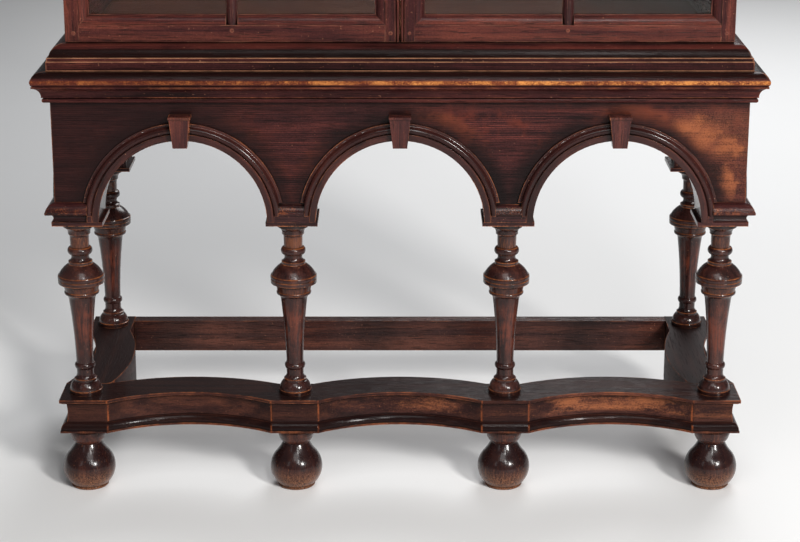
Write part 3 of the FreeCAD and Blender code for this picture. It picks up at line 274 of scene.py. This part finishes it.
def on_frieze(g, tc, col, t):
    x, y, z = g.split(tc)
    # red mottling across the boards
    red = g.math("MULTIPLY", g.span(g.math("ADD", g.math("MULTIPLY", t["brk"], 0.7), g.math("MULTIPLY", t["patch"], 0.6)), 0.64, 0.86), g.span(x, -0.35, 0.25, 0.30, 0.90))
    col = g.mix(red, col, (0.104, 0.0205, 0.0125))
    # smoke-dark halo over the arches, part smoke and part painted shade beside the projecting mouldings; red glow
    # round it
    reach = None
    for cx in (-0.366, 0.0, 0.366):
        dx = g.math("SUBTRACT", x, cx)
        dz = g.math("SUBTRACT", z, 0.493)
        r = g.math("SQRT", g.math("ADD", g.math("MULTIPLY", dx, dx), g.math("MULTIPLY", dz, dz)))
        reach = r if reach is None else g.math("MINIMUM", reach, r)
    glow = g.math("MULTIPLY", belt(g, reach, 0.186, 0.196, 0.013), g.span(g.math("ADD", t["patch"], g.math("MULTIPLY", t["fleck"], 0.35)), 0.62, 0.84))
    glow = g.math("MULTIPLY", g.math("MULTIPLY", glow, g.span(x, -0.30, 0.10, 0.15, 0.65)), g.span(z, 0.560, 0.610))
    col = g.mix(glow, col, (0.185, 0.043, 0.019))
    smoke_and_shade = g.math("MULTIPLY", g.span(reach, 0.208, 0.176), g.span(g.math("ADD", t["patch"], t["cloud"]), 0.70, 1.05, 0.95, 0.66))
    col = g.mix(smoke_and_shade, col, (0.0046, 0.0019, 0.0020))
    # painted shade: darker band along the top, under the projecting moulding
    top = g.math("MULTIPLY", g.span(z, 0.672, 0.700), 0.45)
    col = g.mix(top, col, (0.010, 0.0034, 0.0030))
    # painted shade: the left part darker, as the light falls off to the left
    left = g.math("MULTIPLY", g.span(x, -0.08, -0.50), 0.74)
    col = g.mix(left, col, (0.0105, 0.0034, 0.0034))
    # faded end on the right, with two bright patches
    drift = g.math("ADD", x, g.math("MULTIPLY", g.math("SUBTRACT", z, 0.60), -0.9))
    wash = g.math("MULTIPLY", belt(g, drift, 0.44, 0.60, 0.09), belt(g, z, 0.530, 0.672, 0.03))
    grit = g.span(g.math("ADD", g.math("MULTIPLY", t["grit"], 0.6), g.math("MULTIPLY", t["patch"], 0.6)), 0.46, 0.82)
    wash = g.math("MULTIPLY", g.math("MULTIPLY", wash, grit), g.span(reach, 0.172, 0.205))
    col = g.mix(g.math("MULTIPLY", wash, 0.85), col, (0.150, 0.049, 0.026))
    spots = None
    for cx, cz, rx, rz in ((0.484, 0.662, 0.030, 0.020), (0.514, 0.643, 0.036, 0.026), (0.548, 0.620, 0.028, 0.026), (0.553, 0.566, 0.015, 0.030)):
        dx = g.math("DIVIDE", g.math("ADD", g.math("SUBTRACT", x, cx), g.math("MULTIPLY", g.math("SUBTRACT", t["brk"], 0.5), 0.07)), rx)
        dz = g.math("DIVIDE", g.math("ADD", g.math("SUBTRACT", z, cz), g.math("MULTIPLY", g.math("SUBTRACT", t["patch"], 0.5), 0.09)), rz)
        d = g.math("ADD", g.math("SQRT", g.math("ADD", g.math("MULTIPLY", dx, dx), g.math("MULTIPLY", dz, dz))), g.math("MULTIPLY", g.math("SUBTRACT", t["brk"], 0.5), 1.6))
        m = g.span(d, 1.30, 0.10)
        spots = m if spots is None else g.math("MAXIMUM", spots, m)
    spots = g.math("MULTIPLY", g.math("MULTIPLY", spots, g.span(g.math("ADD", g.math("MULTIPLY", t["grit"], 0.5), g.math("MULTIPLY", t["fibre"], 0.5)), 0.34, 0.60, 0.30, 1.0)), g.span(reach, 0.172, 0.195))
    return g.mix(g.math("MULTIPLY", spots, 0.72), col, (0.33, 0.100, 0.038))


def on_foot(g, tc, col, t):
    x, y, z = g.split(tc)
    scratch = g.noise(g.vec("MULTIPLY", tc, (420.0, 420.0, 16.0)), 1.0, 2.0, 0.5)
    # lighter lower part: worn and scratched, and partly a painted reflection of the pale floor
    low = g.math("MULTIPLY", g.span(z, 0.046, 0.012), g.span(g.math("ADD", g.math("MULTIPLY", t["grit"], 0.8), g.math("MULTIPLY", scratch, 0.25)), 0.40, 0.64))
    col = g.mix(g.math("MULTIPLY", low, 0.95), col, (0.245, 0.100, 0.048))
    high = g.math("MULTIPLY", g.math("MULTIPLY", g.span(z, 0.030, 0.058), g.span(z, 0.084, 0.079)), 0.74)
    col = g.mix(high, col, (0.0105, 0.0038, 0.0042))
    # lighter collar: partly worn, partly painted light where the collar sits in shade
    collar = g.math("MULTIPLY", belt(g, z, 0.086, 0.106, 0.003), g.span(g.math("ADD", g.math("MULTIPLY", t["brk"], 0.6), g.math("MULTIPLY", scratch, 0.5)), 0.46, 0.68))
    col = g.mix(g.math("MULTIPLY", collar, 0.6), col, (0.125, 0.036, 0.020))
    return g.mix(g.math("MULTIPLY", g.span(scratch, 0.64, 0.72), 0.35), col, (0.21, 0.075, 0.033))


def on_leg(g, tc, col, t):
    x, y, z = g.split(tc)
    line = g.noise(g.vec("MULTIPLY", tc, (300.0, 300.0, 14.0)), 1.0, 3.0, 0.6)
    mott = g.span(g.math("ADD", g.math("MULTIPLY", t["brk"], 0.6), g.math("MULTIPLY", line, 0.6)), 0.50, 0.74)
    shaft = g.math("MULTIPLY", g.span(z, 0.236, 0.262), g.span(z, 0.346, 0.318))
    col = g.mix(g.math("MULTIPLY", shaft, g.math("MULTIPLY", mott, 0.85)), col, (0.125, 0.0290, 0.0150))
    neck = g.math("MULTIPLY", belt(g, z, 0.4405, 0.4565, 0.003), g.span(g.math("ADD", t["fleck"], t["patch"]), 0.84, 1.14))
    col = g.mix(g.math("MULTIPLY", neck, 0.55), col, (0.20, 0.060, 0.020))
    tier = g.math("MULTIPLY", belt(g, z, 0.3612, 0.3695, 0.001), g.span(g.math("ADD", t["fleck"], t["patch"]), 0.88, 1.18))
    col = g.mix(g.math("MULTIPLY", tier, 0.35), col, (0.20, 0.056, 0.019))
    # rubbed corners of the turned rings
    near = None
    for at in (0.1807, 0.2003, 0.3553, 0.3598, 0.3752, 0.3813, 0.3890, 0.4089, 0.4133, 0.4264, 0.4380, 0.4622, 0.4748):
        d = g.math("ABSOLUTE", g.math("SUBTRACT", z, at))
        near = d if near is None else g.math("MINIMUM", near, d)
    chew = g.span(g.math("ADD", g.math("MULTIPLY", t["brk"], 0.7), g.math("MULTIPLY", t["fleck"], 0.5)), 0.48, 0.74, 0.08, 1.0)
    return g.mix(g.math("MULTIPLY", g.math("MULTIPLY", g.span(near, 0.0011, 0.0003), chew), 0.85), col, g.mix(t["brk"], (0.17, 0.042, 0.014), (0.36, 0.120, 0.034)))


def on_nose(g, tc, col, t):
    x, y, z = g.split(tc)
    out = g.math("MAXIMUM", g.span(g.math("ABSOLUTE", x), 0.603, 0.607), g.span(g.math("MULTIPLY", y, -1.0), 0.231, 0.235))
    lip = g.math("MULTIPLY", out, belt(g, z, 0.7352, 0.7392, 0.0026))
    chew = g.math("ADD", g.math("MULTIPLY", g.math("ADD", t["fleck"], t["grit"]), 0.34), g.math("MULTIPLY", t["brk"], 0.55))
    gold = g.span(x, -0.45, 0.22, 0.30, 1.0)
    rubbed = g.math("MULTIPLY", lip, g.span(g.math("ADD", chew, g.math("MULTIPLY", gold, 0.13)), 0.57, 0.82))
    col = g.mix(g.math("MULTIPLY", lip, 0.45), col, (0.100, 0.021, 0.0098))
    col = g.mix(g.math("MULTIPLY", rubbed, 0.95), col, g.mix(g.math("MULTIPLY", gold, g.span(g.math("ADD", g.math("MULTIPLY", t["grit"], 0.5), g.math("MULTIPLY", t["brk"], 0.6)), 0.46, 0.66)), (0.20, 0.046, 0.015), (0.60, 0.235, 0.062)))
    # darker top behind the nose
    back = g.math("MULTIPLY", g.span(z, 0.7420, 0.7455), 0.85)
    return g.mix(back, col, (0.0055, 0.0022, 0.0018))


def on_base(g, tc, col, t):
    x, y, z = g.split(tc)
    # painted dark reflection: the ovolo band made near-black
    dark_reflection_band = g.math("MULTIPLY", belt(g, z, 0.7755, 0.786, 0.003), 0.85)
    col = g.mix(dark_reflection_band, col, (0.0048, 0.0020, 0.0017))
    crest = g.math("MULTIPLY", belt(g, z, 0.7885, 0.7935, 0.002), g.span(g.math("ADD", t["streak"], t["patch"]), 0.86, 1.12))
    col = g.mix(g.math("MULTIPLY", crest, 0.4), col, (0.085, 0.018, 0.0120))
    # pale lines along the arrises: rubbed through, and partly a painted highlight off the rounded edges
    near = None
    for at in (0.7529, 0.7675, 0.7736):
        d = g.math("ABSOLUTE", g.math("SUBTRACT", z, at))
        near = d if near is None else g.math("MINIMUM", near, d)
    out = g.math("MAXIMUM", g.span(g.math("ABSOLUTE", x), 0.580, 0.583), g.span(g.math("MULTIPLY", y, -1.0), 0.208, 0.211))
    chew = g.span(g.math("ADD", g.math("MULTIPLY", t["brk"], 0.8), g.math("MULTIPLY", t["fleck"], 0.4)), 0.42, 0.68, 0.40, 1.0)
    line = g.math("MULTIPLY", g.math("MULTIPLY", g.span(near, 0.0008, 0.0003), chew), out)
    return g.mix(g.math("MULTIPLY", line, 0.70), col, (0.40, 0.195, 0.105))


def on_cap(g, tc, col, t):
    x, y, z = g.split(tc)
    fret = g.math("ADD", g.math("MULTIPLY", t["grit"], 0.55), g.math("MULTIPLY", t["brk"], 0.6))
    crest = g.math("MULTIPLY", belt(g, z, 0.5100, 0.5175, 0.003), g.span(fret, 0.56, 0.74))
    col = g.mix(g.math("MULTIPLY", crest, 0.75), col, (0.26, 0.072, 0.024))
    lip = g.math("MULTIPLY", belt(g, z, 0.4858, 0.4868, 0.0006), g.span(fret, 0.46, 0.66))
    lip = g.math("MULTIPLY", lip, g.span(g.math("ABSOLUTE", g.split(t["geo"]["Normal"])[2]), 0.6, 0.2))
    return g.mix(g.math("MULTIPLY", lip, 0.9), col, (0.36, 0.120, 0.046))


def on_stretcher(g, tc, col, t):
    x, y, z = g.split(tc)
    up = g.split(t["geo"]["Normal"])[2]
    side = g.span(g.math("ABSOLUTE", up), 0.75, 0.35)
    front = g.span(y, -0.095, -0.125)
    # rubbed top fillet, foot fillet and block corners
    chew = g.span(g.math("ADD", g.math("MULTIPLY", t["brk"], 0.7), g.math("MULTIPLY", t["fleck"], 0.5)), 0.50, 0.76, 0.03, 1.0)
    crest = g.math("MULTIPLY", belt(g, z, 0.1709, 0.1737, 0.0006), side)
    foot = g.math("MULTIPLY", belt(g, z, 0.1128, 0.1146, 0.0006), side)
    lines = g.math("MAXIMUM", g.math("MULTIPLY", crest, 0.36), g.math("MULTIPLY", foot, 0.45))
    lines = g.math("MULTIPLY", lines, chew)
    nick = g.span(g.math("ADD", g.math("MULTIPLY", t["grit"], 0.5), g.math("MULTIPLY", t["brk"], 0.6)), 0.44, 0.64, 0.15, 1.0)
    for at in (0.508, 0.224, 0.142):
        near = g.math("ABSOLUTE", g.math("SUBTRACT", g.math("ABSOLUTE", x), at))
        corner = g.math("MULTIPLY", g.math("MULTIPLY", g.span(near, 0.0022, 0.0006), front), side)
        lines = g.math("MAXIMUM", lines, g.math("MULTIPLY", corner, nick))
    # scuffed middles of the bays
    bay = g.math("ABSOLUTE", g.math("SUBTRACT", x, g.math("MULTIPLY", g.math("ROUND", g.math("DIVIDE", x, 0.366)), 0.366)))
    ends = g.math("MULTIPLY", g.math("MULTIPLY", g.span(bay, 0.085, 0.140), side), front)
    col = g.mix(g.math("MULTIPLY", ends, 0.42), col, (0.0085, 0.0032, 0.0030))
    face = g.math("MULTIPLY", g.math("MULTIPLY", belt(g, z, 0.140, 0.160, 0.007), front), g.span(bay, 0.150, 0.060, 0.35, 1.0))
    graze = g.span(g.math("ADD", g.math("ADD", g.math("MULTIPLY", t["grit"], 0.25), g.math("MULTIPLY", t["streak"], 0.40)), g.math("ADD", g.math("MULTIPLY", t["fleck"], 0.35), g.math("MULTIPLY", t["patch"], 0.40))), 0.64, 0.84)
    # painted shade: the scuffs fade and the face darkens towards the left, as the light falls off
    col = g.mix(g.math("MULTIPLY", g.math("MULTIPLY", face, graze), g.span(x, -0.30, 0.30, 0.18, 0.92)), col, (0.30, 0.100, 0.040))
    col = g.mix(g.math("MULTIPLY", g.span(x, 0.10, -0.40), 0.38), col, (0.0125, 0.0052, 0.0050))
    # painted shade: the lower torus made near-black, where it turns down away from the light
    dark = g.math("MULTIPLY", belt(g, z, 0.1165, 0.1288, 0.0010), 0.8)
    col = g.mix(dark, col, (0.0050, 0.0022, 0.0024))
    top = g.math("MULTIPLY", g.span(up, 0.80, 0.95), 0.72)
    col = g.mix(top, col, (0.0105, 0.0056, 0.0056))
    return g.mix(lines, col, g.mix(t["brk"], (0.13, 0.029, 0.011), (0.30, 0.082, 0.026)))


def on_back(g, tc, col, t):
    """Six boards: each its own tone, stained, dark at the joints."""
    x, y, z = g.split(tc)
    at = g.math("DIVIDE", g.math("ADD", x, 0.55630), 0.18543)
    own = g.n("ShaderNodeTexWhiteNoise", {"W": g.math("FLOOR", at)}, noise_dimensions="1D").outputs["Value"]
    col = g.mix(g.math("MULTIPLY", own, 0.55), col, g.mix(t["streak"], (0.026, 0.0125, 0.0085), (0.105, 0.056, 0.036)))
    stain = g.span(g.math("ADD", t["patch"], g.math("MULTIPLY", t["cloud"], 0.5)), 0.80, 1.05)
    col = g.mix(g.math("MULTIPLY", stain, 0.5), col, (0.020, 0.0105, 0.0080))
    part = g.math("FRACT", at)
    joint = g.math("MINIMUM", part, g.math("SUBTRACT", 1.0, part))
    return g.mix(g.math("MULTIPLY", g.span(joint, 0.024, 0.006), 0.9), col, (0.0045, 0.0026, 0.0020))


def on_top(g, tc, col, t):
    """Dust lying on the unpolished top."""
    up = g.split(t["geo"]["Normal"])[2]
    dust = g.math("MULTIPLY", g.span(up, 0.7, 0.95), g.span(g.math("ADD", g.math("MULTIPLY", t["patch"], 0.8), g.math("MULTIPLY", t["grit"], 0.4)), 0.40, 0.82))
    return g.mix(g.math("MULTIPLY", dust, 0.55), col, (0.125, 0.108, 0.092))


def putty(name):
    g = Net(name)
    tc = g.n("ShaderNodeTexCoord").outputs["Object"]
    smear = g.noise(g.vec("MULTIPLY", tc, (60.0, 220.0, 60.0)), 1.0, 4.0, 0.6)
    crack = g.span(g.n("ShaderNodeTexVoronoi", {"Vector": tc, "Scale": 95.0}, feature="DISTANCE_TO_EDGE").outputs["Distance"], 0.030, 0.004)
    col = g.mix(g.span(smear, 0.35, 0.65), (0.060, 0.040, 0.028), (0.125, 0.092, 0.062))
    col = g.mix(crack, col, (0.012, 0.0075, 0.0055))
    high = g.math("SUBTRACT", smear, g.math("MULTIPLY", crack, 0.8))
    bump = g.n("ShaderNodeBump", {"Strength": 0.6, "Distance": 0.0006, "Height": high}).outputs[0]
    bs = g.n("ShaderNodeBsdfPrincipled", {"Base Color": col, "Roughness": g.math("ADD", 0.62, g.math("MULTIPLY", smear, 0.25)), "Normal": bump})
    bs.inputs["Specular IOR Level"].default_value = 0.25
    return g.finish(bs.outputs[0])


# ---------------------------------------------------------------- assign
GLASS = glass("glass_old")
BRASS = metal("brass_aged", (0.50, 0.33, 0.11), (0.20, 0.125, 0.045), (0.035, 0.022, 0.012), 0.26)
IRON = metal("iron_dark", (0.16, 0.15, 0.145), (0.075, 0.062, 0.055), (0.045, 0.020, 0.011), 0.38)

INNER = dict(dark=(0.030, 0.0120, 0.0085), mid=(0.085, 0.0330, 0.0210), light=(0.150, 0.0660, 0.0400), worn=(0.26, 0.14, 0.068),
             wear_and_glint=0.4, rough=0.52, polish=0.05, grime_and_shade_amount=0.7)

STAND = dict(dark=(0.0055, 0.0024, 0.0025), mid=(0.032, 0.0112, 0.0096), light=(0.112, 0.0370, 0.0235))

FINISH = {}


def use(material, *names):
    for n in names:
        FINISH[n] = material


use(wood("wood_legs", "Z", extra=on_leg, edge=0.0015, tone=0.01, polish=0.46, relief=0.22, shine=0.13, **STAND), *[n for n in NODES if n.startswith("leg_")])
use(wood("wood_feet", "Z", extra=on_foot, wear_and_glint=0.6, polish=0.42, rough=0.26, grime_and_shade_amount=0.5, relief=0.16, shine=0.12, **STAND), *[n for n in NODES if n.startswith("foot_")])
use(wood("wood_stretcher_x", "X", extra=on_stretcher, tone=0.09, polish=0.15, relief=0.35, shine=0.05, **STAND), "stretcher_front")
use(wood("wood_stretcher_back", "X", tone=0.12, wear_and_glint=0.7, **STAND), "stretcher_back")
use(wood("wood_stretcher_y", "Y", extra=on_stretcher, tone=0.0, polish=0.0, rough=0.46, shine=0.07, **STAND), "stretcher_left", "stretcher_right")
use(wood("wood_frieze", "X", extra=on_frieze, figure=1.3, light=(0.112, 0.0262, 0.0196), hatch=0.80, shine=0.10, polish=0.06, streaky=0.36, fine=330.0, comb=0.17, across=130.0, relief=0.35, mottle=0.45), "frieze_front")
use(wood("wood_frieze_side", "Y", figure=1.3), "frieze_left", "frieze_right")
use(wood("wood_arches", "arch", wear_and_glint=0.75, polish=0.30, rough=0.24, shine=0.09, streaky=0.5, hatch=0.25, scuff=0.45, relief=0.16,
         dark=(0.0046, 0.0020, 0.0022), mid=(0.028, 0.0082, 0.0072)), "arch_mouldings", "arch_linings")
use(wood("wood_keystones", "Z", tone=0.12, scuff=0.5, relief=0.3), "keystones")
use(wood("wood_capitals", "X", extra=on_cap), "capitals_front", "capitals_back")
use(wood("wood_stand_moulding", ("mitre", 0.61, 0.238), extra=on_nose, polish=0.04, shine=0.07), "stand_moulding")
use(wood("wood_case_moulding", ("mitre", 0.586, 0.214), extra=on_base, comb=0.06, polish=0.02, shine=0.06, tone=-0.08, worn=(0.40, 0.165, 0.095)), "case_base_moulding")
use(wood("wood_cornice", ("mitre", 0.608, 0.236), extra=on_top, polish=0.0, shine=0.10, matt=0.6, worn=(0.40, 0.165, 0.095)), "cornice")
use(wood("wood_case_rails", "X", polish=0.05, shine=0.11, tone=0.14, wear_and_glint=0.45, worn=(0.40, 0.165, 0.095)), "case_rails", "door_left_rails", "door_right_rails", "stand_top_board")
use(wood("wood_door_stiles", "Z", polish=0.05, shine=0.11, tone=0.11, wear_and_glint=0.45, worn=(0.40, 0.165, 0.095)), "door_left_stiles", "door_right_stiles")
use(wood("wood_door_bars", ("bars", 0.27875, 0.0097), tone=0.08, wear_and_glint=0.5, worn=(0.40, 0.165, 0.095)), "door_left_bars", "door_right_bars")
use(wood("wood_sides", ("side", -0.101, 0.166)), "side_frame_left", "side_frame_right")
use(wood("wood_side_panels", "Z", figure=1.6, tone=0.06), "side_panels")
use(wood("wood_pegs", "Y", tone=0.35, wear_and_glint=0.6, grime_and_shade_amount=0.5), "door_left_pegs", "door_right_pegs")
use(wood("wood_inner_x", "X", **INNER), "shelf_lower", "shelf_upper", "case_bottom", "frieze_back")
use(wood("wood_case_top", "X", extra=on_top, shine=0.06, **{**INNER, "rough": 0.86, "polish": 0.0}), "case_top")
use(wood("wood_inner_y", "Y", **INNER), "shelf_bearers")
use(wood("wood_inner_z", "Z", **INNER), "stand_posts")
use(wood("wood_back_boards", "Z", extra=on_back, shine=0.10, **{**INNER, "rough": 0.66, "polish": 0.0}), "back_boards")
use(GLASS, "door_left_panes", "door_right_panes")
use(BRASS, *[n for n in NODES if n.startswith(("hinge", "bolt", "lock", "escutcheon"))])
use(IRON, "key")

for n, o in NODES.items():
    o.data.materials.clear()
    o.data.materials.append(FINISH[n])

# ---------------------------------------------------------------- small pieces
def piece(name, parts, material, body, smooth=False):
    """One mesh from several (vertices, faces), riding on a body."""
    verts, faces = [], []
    for v, f in parts:
        faces += [tuple(i + len(verts) for i in q) for q in f]
        verts += v
    me = bpy.data.meshes.new(name)
    me.from_pydata([tuple(v) for v in verts], [], faces)
    me.validate()
    if smooth:
        me.shade_smooth()
    ob = bpy.data.objects.new(name, me)
    scene.collection.objects.link(ob)
    me.materials.append(material)
    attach(ob, body)
    return ob


def facing(at, out, side):
    """Maps (a, b, h) to the point a along side, b across, h outwards from at."""
    out, side = Vector(out), Vector(side)
    cross = out.cross(side)
    at = Vector(at)
    return lambda a, b, h: at + side * a + cross * b + out * h


def rings(place, levels, count, turn=0.0, wobble=0.0):
    """A shallow turned shape: rings of (radius, height), the last one closed."""
    verts, faces = [], []
    for k, (r, h) in enumerate(levels):
        for i in range(count):
            a = 2 * math.pi * i / count + turn
            rr = r * (1 + wobble * math.sin(3 * a + 1.7 * k) + wobble * math.sin(5 * a + turn))
            verts.append(place(rr * math.cos(a), rr * math.sin(a), h))
    for k in range(len(levels) - 1):
        for i in range(count):
            j = (i + 1) % count
            faces.append((k * count + i, k * count + j, (k + 1) * count + j, (k + 1) * count + i))
    faces.append(tuple((len(levels) - 1) * count + i for i in range(count)))
    return verts, faces


def slotted(place, r, h, turn, slot=0.13, n=14):
    """A screw head with a cut slot: two raised halves on a low disc."""
    low = rings(place, [(r, -0.0004), (r, h * 0.22)], 28, turn)
    out = [low]
    w = r * slot
    for sign in (1, -1):
        a0 = math.asin(w / r)
        arc = [a0 + (math.pi - 2 * a0) * i / n for i in range(n + 1)]
        verts, faces = [], []
        for rr, hh in ((r, h * 0.2), (r, h * 0.72), (r * 0.86, h)):
            for a in arc:
                x, y = rr * math.cos(a), max(rr * math.sin(a), w)
                x, y = (x, y) if sign > 0 else (-x, -y)
                c, d = math.cos(turn), math.sin(turn)
                verts.append(place(c * x - d * y, d * x + c * y, hh))
        m = n + 1
        for k in range(2):
            for i in range(m):
                j = (i + 1) % m
                faces.append((k * m + i, k * m + j, (k + 1) * m + j, (k + 1) * m + i))
        faces.append(tuple(2 * m + i for i in range(m)))
        out.append((verts, faces))
    return out


# forged nails through the back boards
nails = []
for i in range(6):
    for k, z in enumerate((0.806, 1.135, 1.450, 1.856)):
        for m, dx in enumerate((0.026, 0.158)):
            turn = 0.7 * i + 1.3 * k + 2.1 * m
            x = -0.556 + i * 0.18543 + dx + 0.004 * math.sin(5 * turn)
            place = facing((x, 0.238, z + 0.005 * math.cos(7 * turn)), (0, 1, 0), (1, 0, 0))
            nails.append(rings(place, [(0.0044, -0.0012), (0.0046, 0.00012), (0.0032, 0.00030), (0.0013, 0.00045)], 7, turn, 0.07))
piece("back_nails", nails, IRON, "cabinet")

# draw pegs in the side frames
PEG = wood("wood_side_pegs", "X", tone=0.35, wear_and_glint=0.6, grime_and_shade_amount=0.5)
pegs = []
for sx in (-1, 1):
    for y in (-0.114, 0.179):
        for k, z in enumerate((0.834, 1.307, 1.333, 1.801)):
            place = facing((sx * 0.556, y, z), (sx, 0, 0), (0, sx, 0))
            pegs.append(rings(place, [(0.0029, -0.0004), (0.0029, 0.0002), (0.0025, 0.0005), (0.0012, 0.00065)], 11, 0.9 * k + y * 9, 0.05))
piece("side_pegs", pegs, PEG, "cabinet")

# hinge screws, lock screws, escutcheon pins
SCREW = metal("brass_screws", (0.46, 0.31, 0.11), (0.17, 0.105, 0.040), (0.020, 0.013, 0.008), 0.30)
for side, sx in (("left", -1), ("right", 1)):
    on_case, on_door = [], []
    for hz in (0.900, 1.293, 1.686):
        for k, dz in enumerate((-0.0205, 0.0, 0.0205)):
            x = sx * (0.5452 if k != 1 else 0.5405)
            on_case += slotted(facing((x, -0.1613, hz + dz), (0, -1, 0), (1, 0, 0)), 0.0031, 0.00012, 0.8 * k + hz * 3)
            on_door += slotted(facing((x, -0.1617, hz + dz), (0, 1, 0), (1, 0, 0)), 0.0031, 0.00012, 1.1 * k + hz * 5)
    piece("hinge_screws_case_" + side, on_case, SCREW, "cabinet")
    piece("hinge_screws_door_" + side, on_door, SCREW, "door_" + side)
screws = []
for k, (x, z) in enumerate(((0.0068, 1.2660), (0.0312, 1.2660), (0.0068, 1.3042), (0.0312, 1.3042))):
    screws += slotted(facing((x, -0.150, z), (0, 1, 0), (1, 0, 0)), 0.0023, 0.0007, 0.6 + 1.9 * k)
piece("lock_screws", screws, SCREW, "door_right")
pins = []
for z in (1.2895, 1.2625):
    pins.append(rings(facing((0.015, -0.1852, z), (0, -1, 0), (1, 0, 0)), [(0.0011, -0.0002), (0.0011, 0.0002), (0.0008, 0.0005), (0.0003, 0.0006)], 12))
piece("escutcheon_pins", pins, SCREW, "door_right")


# bedding putty behind each pane
def panes_of(node):
    """Low and high corners of each loose pane of a node."""
    me = node.data
    root = list(range(len(me.vertices)))

    def find(i):
        while root[i] != i:
            root[i] = root[root[i]]
            i = root[i]
        return i

    seen = {}
    for v in me.vertices:                     # corners that share a place are one
        k = tuple(round(c * 1e5) for c in v.co)
        root[find(v.index)] = find(seen.setdefault(k, v.index))
    for e in me.edges:
        root[find(e.vertices[0])] = find(e.vertices[1])
    found = {}
    for v in me.vertices:
        p = node.matrix_world @ v.co
        lo, hi = found.setdefault(find(v.index), (Vector(p), Vector(p)))
        for i in range(3):
            lo[i], hi[i] = min(lo[i], p[i]), max(hi[i], p[i])
    return list(found.values())


def bead(lo, hi, seed):
    """A struck fillet of putty round the back edge of a pane, a little uneven."""
    y = hi[1]
    corners = ((lo[0], lo[2]), (hi[0], lo[2]), (hi[0], hi[2]), (lo[0], hi[2]))
    inward = ((1, 1), (-1, 1), (-1, -1), (1, -1))
    verts, faces, count = [], [], 0
    for s in range(4):
        (ax, az), (bx, bz) = corners[s], corners[(s + 1) % 4]
        (ai, aj), (bi, bj) = inward[s], inward[(s + 1) % 4]
        n = max(3, int(math.hypot(bx - ax, bz - az) / 0.018))
        for i in range(n):
            f = i / n
            x, z = ax + (bx - ax) * f, az + (bz - az) * f
            if i == 0:
                dx, dz = ai, aj
            else:
                dx, dz = (0, aj) if s % 2 == 0 else (ai if s == 3 else bi, 0)
            wave = 0.0005 * math.sin(seed + 37.0 * (x + z) + 2.1 * s) + 0.0003 * math.sin(seed * 2 + 113.0 * (x - z))
            for off, deep in ((0.0003, 0.0001), (0.0003, 0.0052 + wave), (0.0024, 0.0027 + wave * 0.8), (0.0050 + wave, 0.0001)):
                verts.append((x + dx * off, y + deep, z + dz * off))
            count += 1
    for i in range(count):
        j = (i + 1) % count
        for k in range(4):
            m = (k + 1) % 4
            faces.append((i * 4 + k, j * 4 + k, j * 4 + m, i * 4 + m))
    return verts, faces


PUTTY = putty("putty_old")
for side in ("left", "right"):
    found = sorted(panes_of(NODES["door_%s_panes" % side]), key=lambda b: (round(b[0][0], 3), round(b[0][2], 3)))
    piece("putty_" + side, [bead(lo, hi, 1.0 + 1.7 * i) for i, (lo, hi) in enumerate(found)], PUTTY, "door_" + side)

# ---------------------------------------------------------------- stage
bpy.ops.mesh.primitive_plane_add(size=400.0, location=(0.0, 0.0, -0.0004))
ground = bpy.context.object
ground.name = "floor"
ground.data.materials.append(floor_material())

world = bpy.data.worlds.new("studio")
scene.world = world
world.use_nodes = True
bg = world.node_tree.nodes["Background"]
bg.inputs[0].default_value = (0.80, 0.81, 0.83, 1.0)
bg.inputs[1].default_value = 0.17


def area(name, at, aim, size, power, colour=(1, 1, 1), size_y=None):
    light = bpy.data.lights.new(name, "AREA")
    light.shape = "RECTANGLE"
    light.size, light.size_y = size, size_y or size
    light.energy, light.color = power, colour
    o = bpy.data.objects.new(name, light)
    scene.collection.objects.link(o)
    o.visible_camera = False
    o.location = at
    o.rotation_euler = (Vector(aim) - Vector(at)).to_track_quat("-Z", "Y").to_euler()
    return o


area("key_light", (3.05, -5.05, 3.15), (0.0, 0.0, 0.35), 0.85, 348, (1.0, 0.985, 0.96), 1.2)
area("front_light", (0.70, -3.5, 2.9), (0.0, 0.0, 0.5), 0.42, 42, (1.0, 0.99, 0.975), 1.5)
area("left_light", (-2.6, -3.4, 2.2), (0.0, 0.0, 0.5), 0.5, 5, (0.96, 0.98, 1.0), 1.8)
area("floor_light", (-0.1, -2.0, 2.7), (-0.2, -0.9, 0.0), 1.3, 20, (1.0, 0.995, 0.985))
area("back_light", (1.2, 3.3, 3.3), (0.6, 0.6, 0.0), 2.6, 128, (0.98, 0.99, 1.0))

cam = bpy.data.cameras.new("camera")
cam.sensor_width = 36.0
cam.lens = 93.87
cam.shift_y = -0.03
cam.clip_start, cam.clip_end = 0.05, 200.0
eye = bpy.data.objects.new("camera", cam)
scene.collection.objects.link(eye)
eye.location = (0.0, -3.6, 1.463)
eye.rotation_euler = (math.radians(90.0 - 16.67), 0.0, 0.0)
scene.camera = eye

scene.view_settings.view_transform = "Standard"
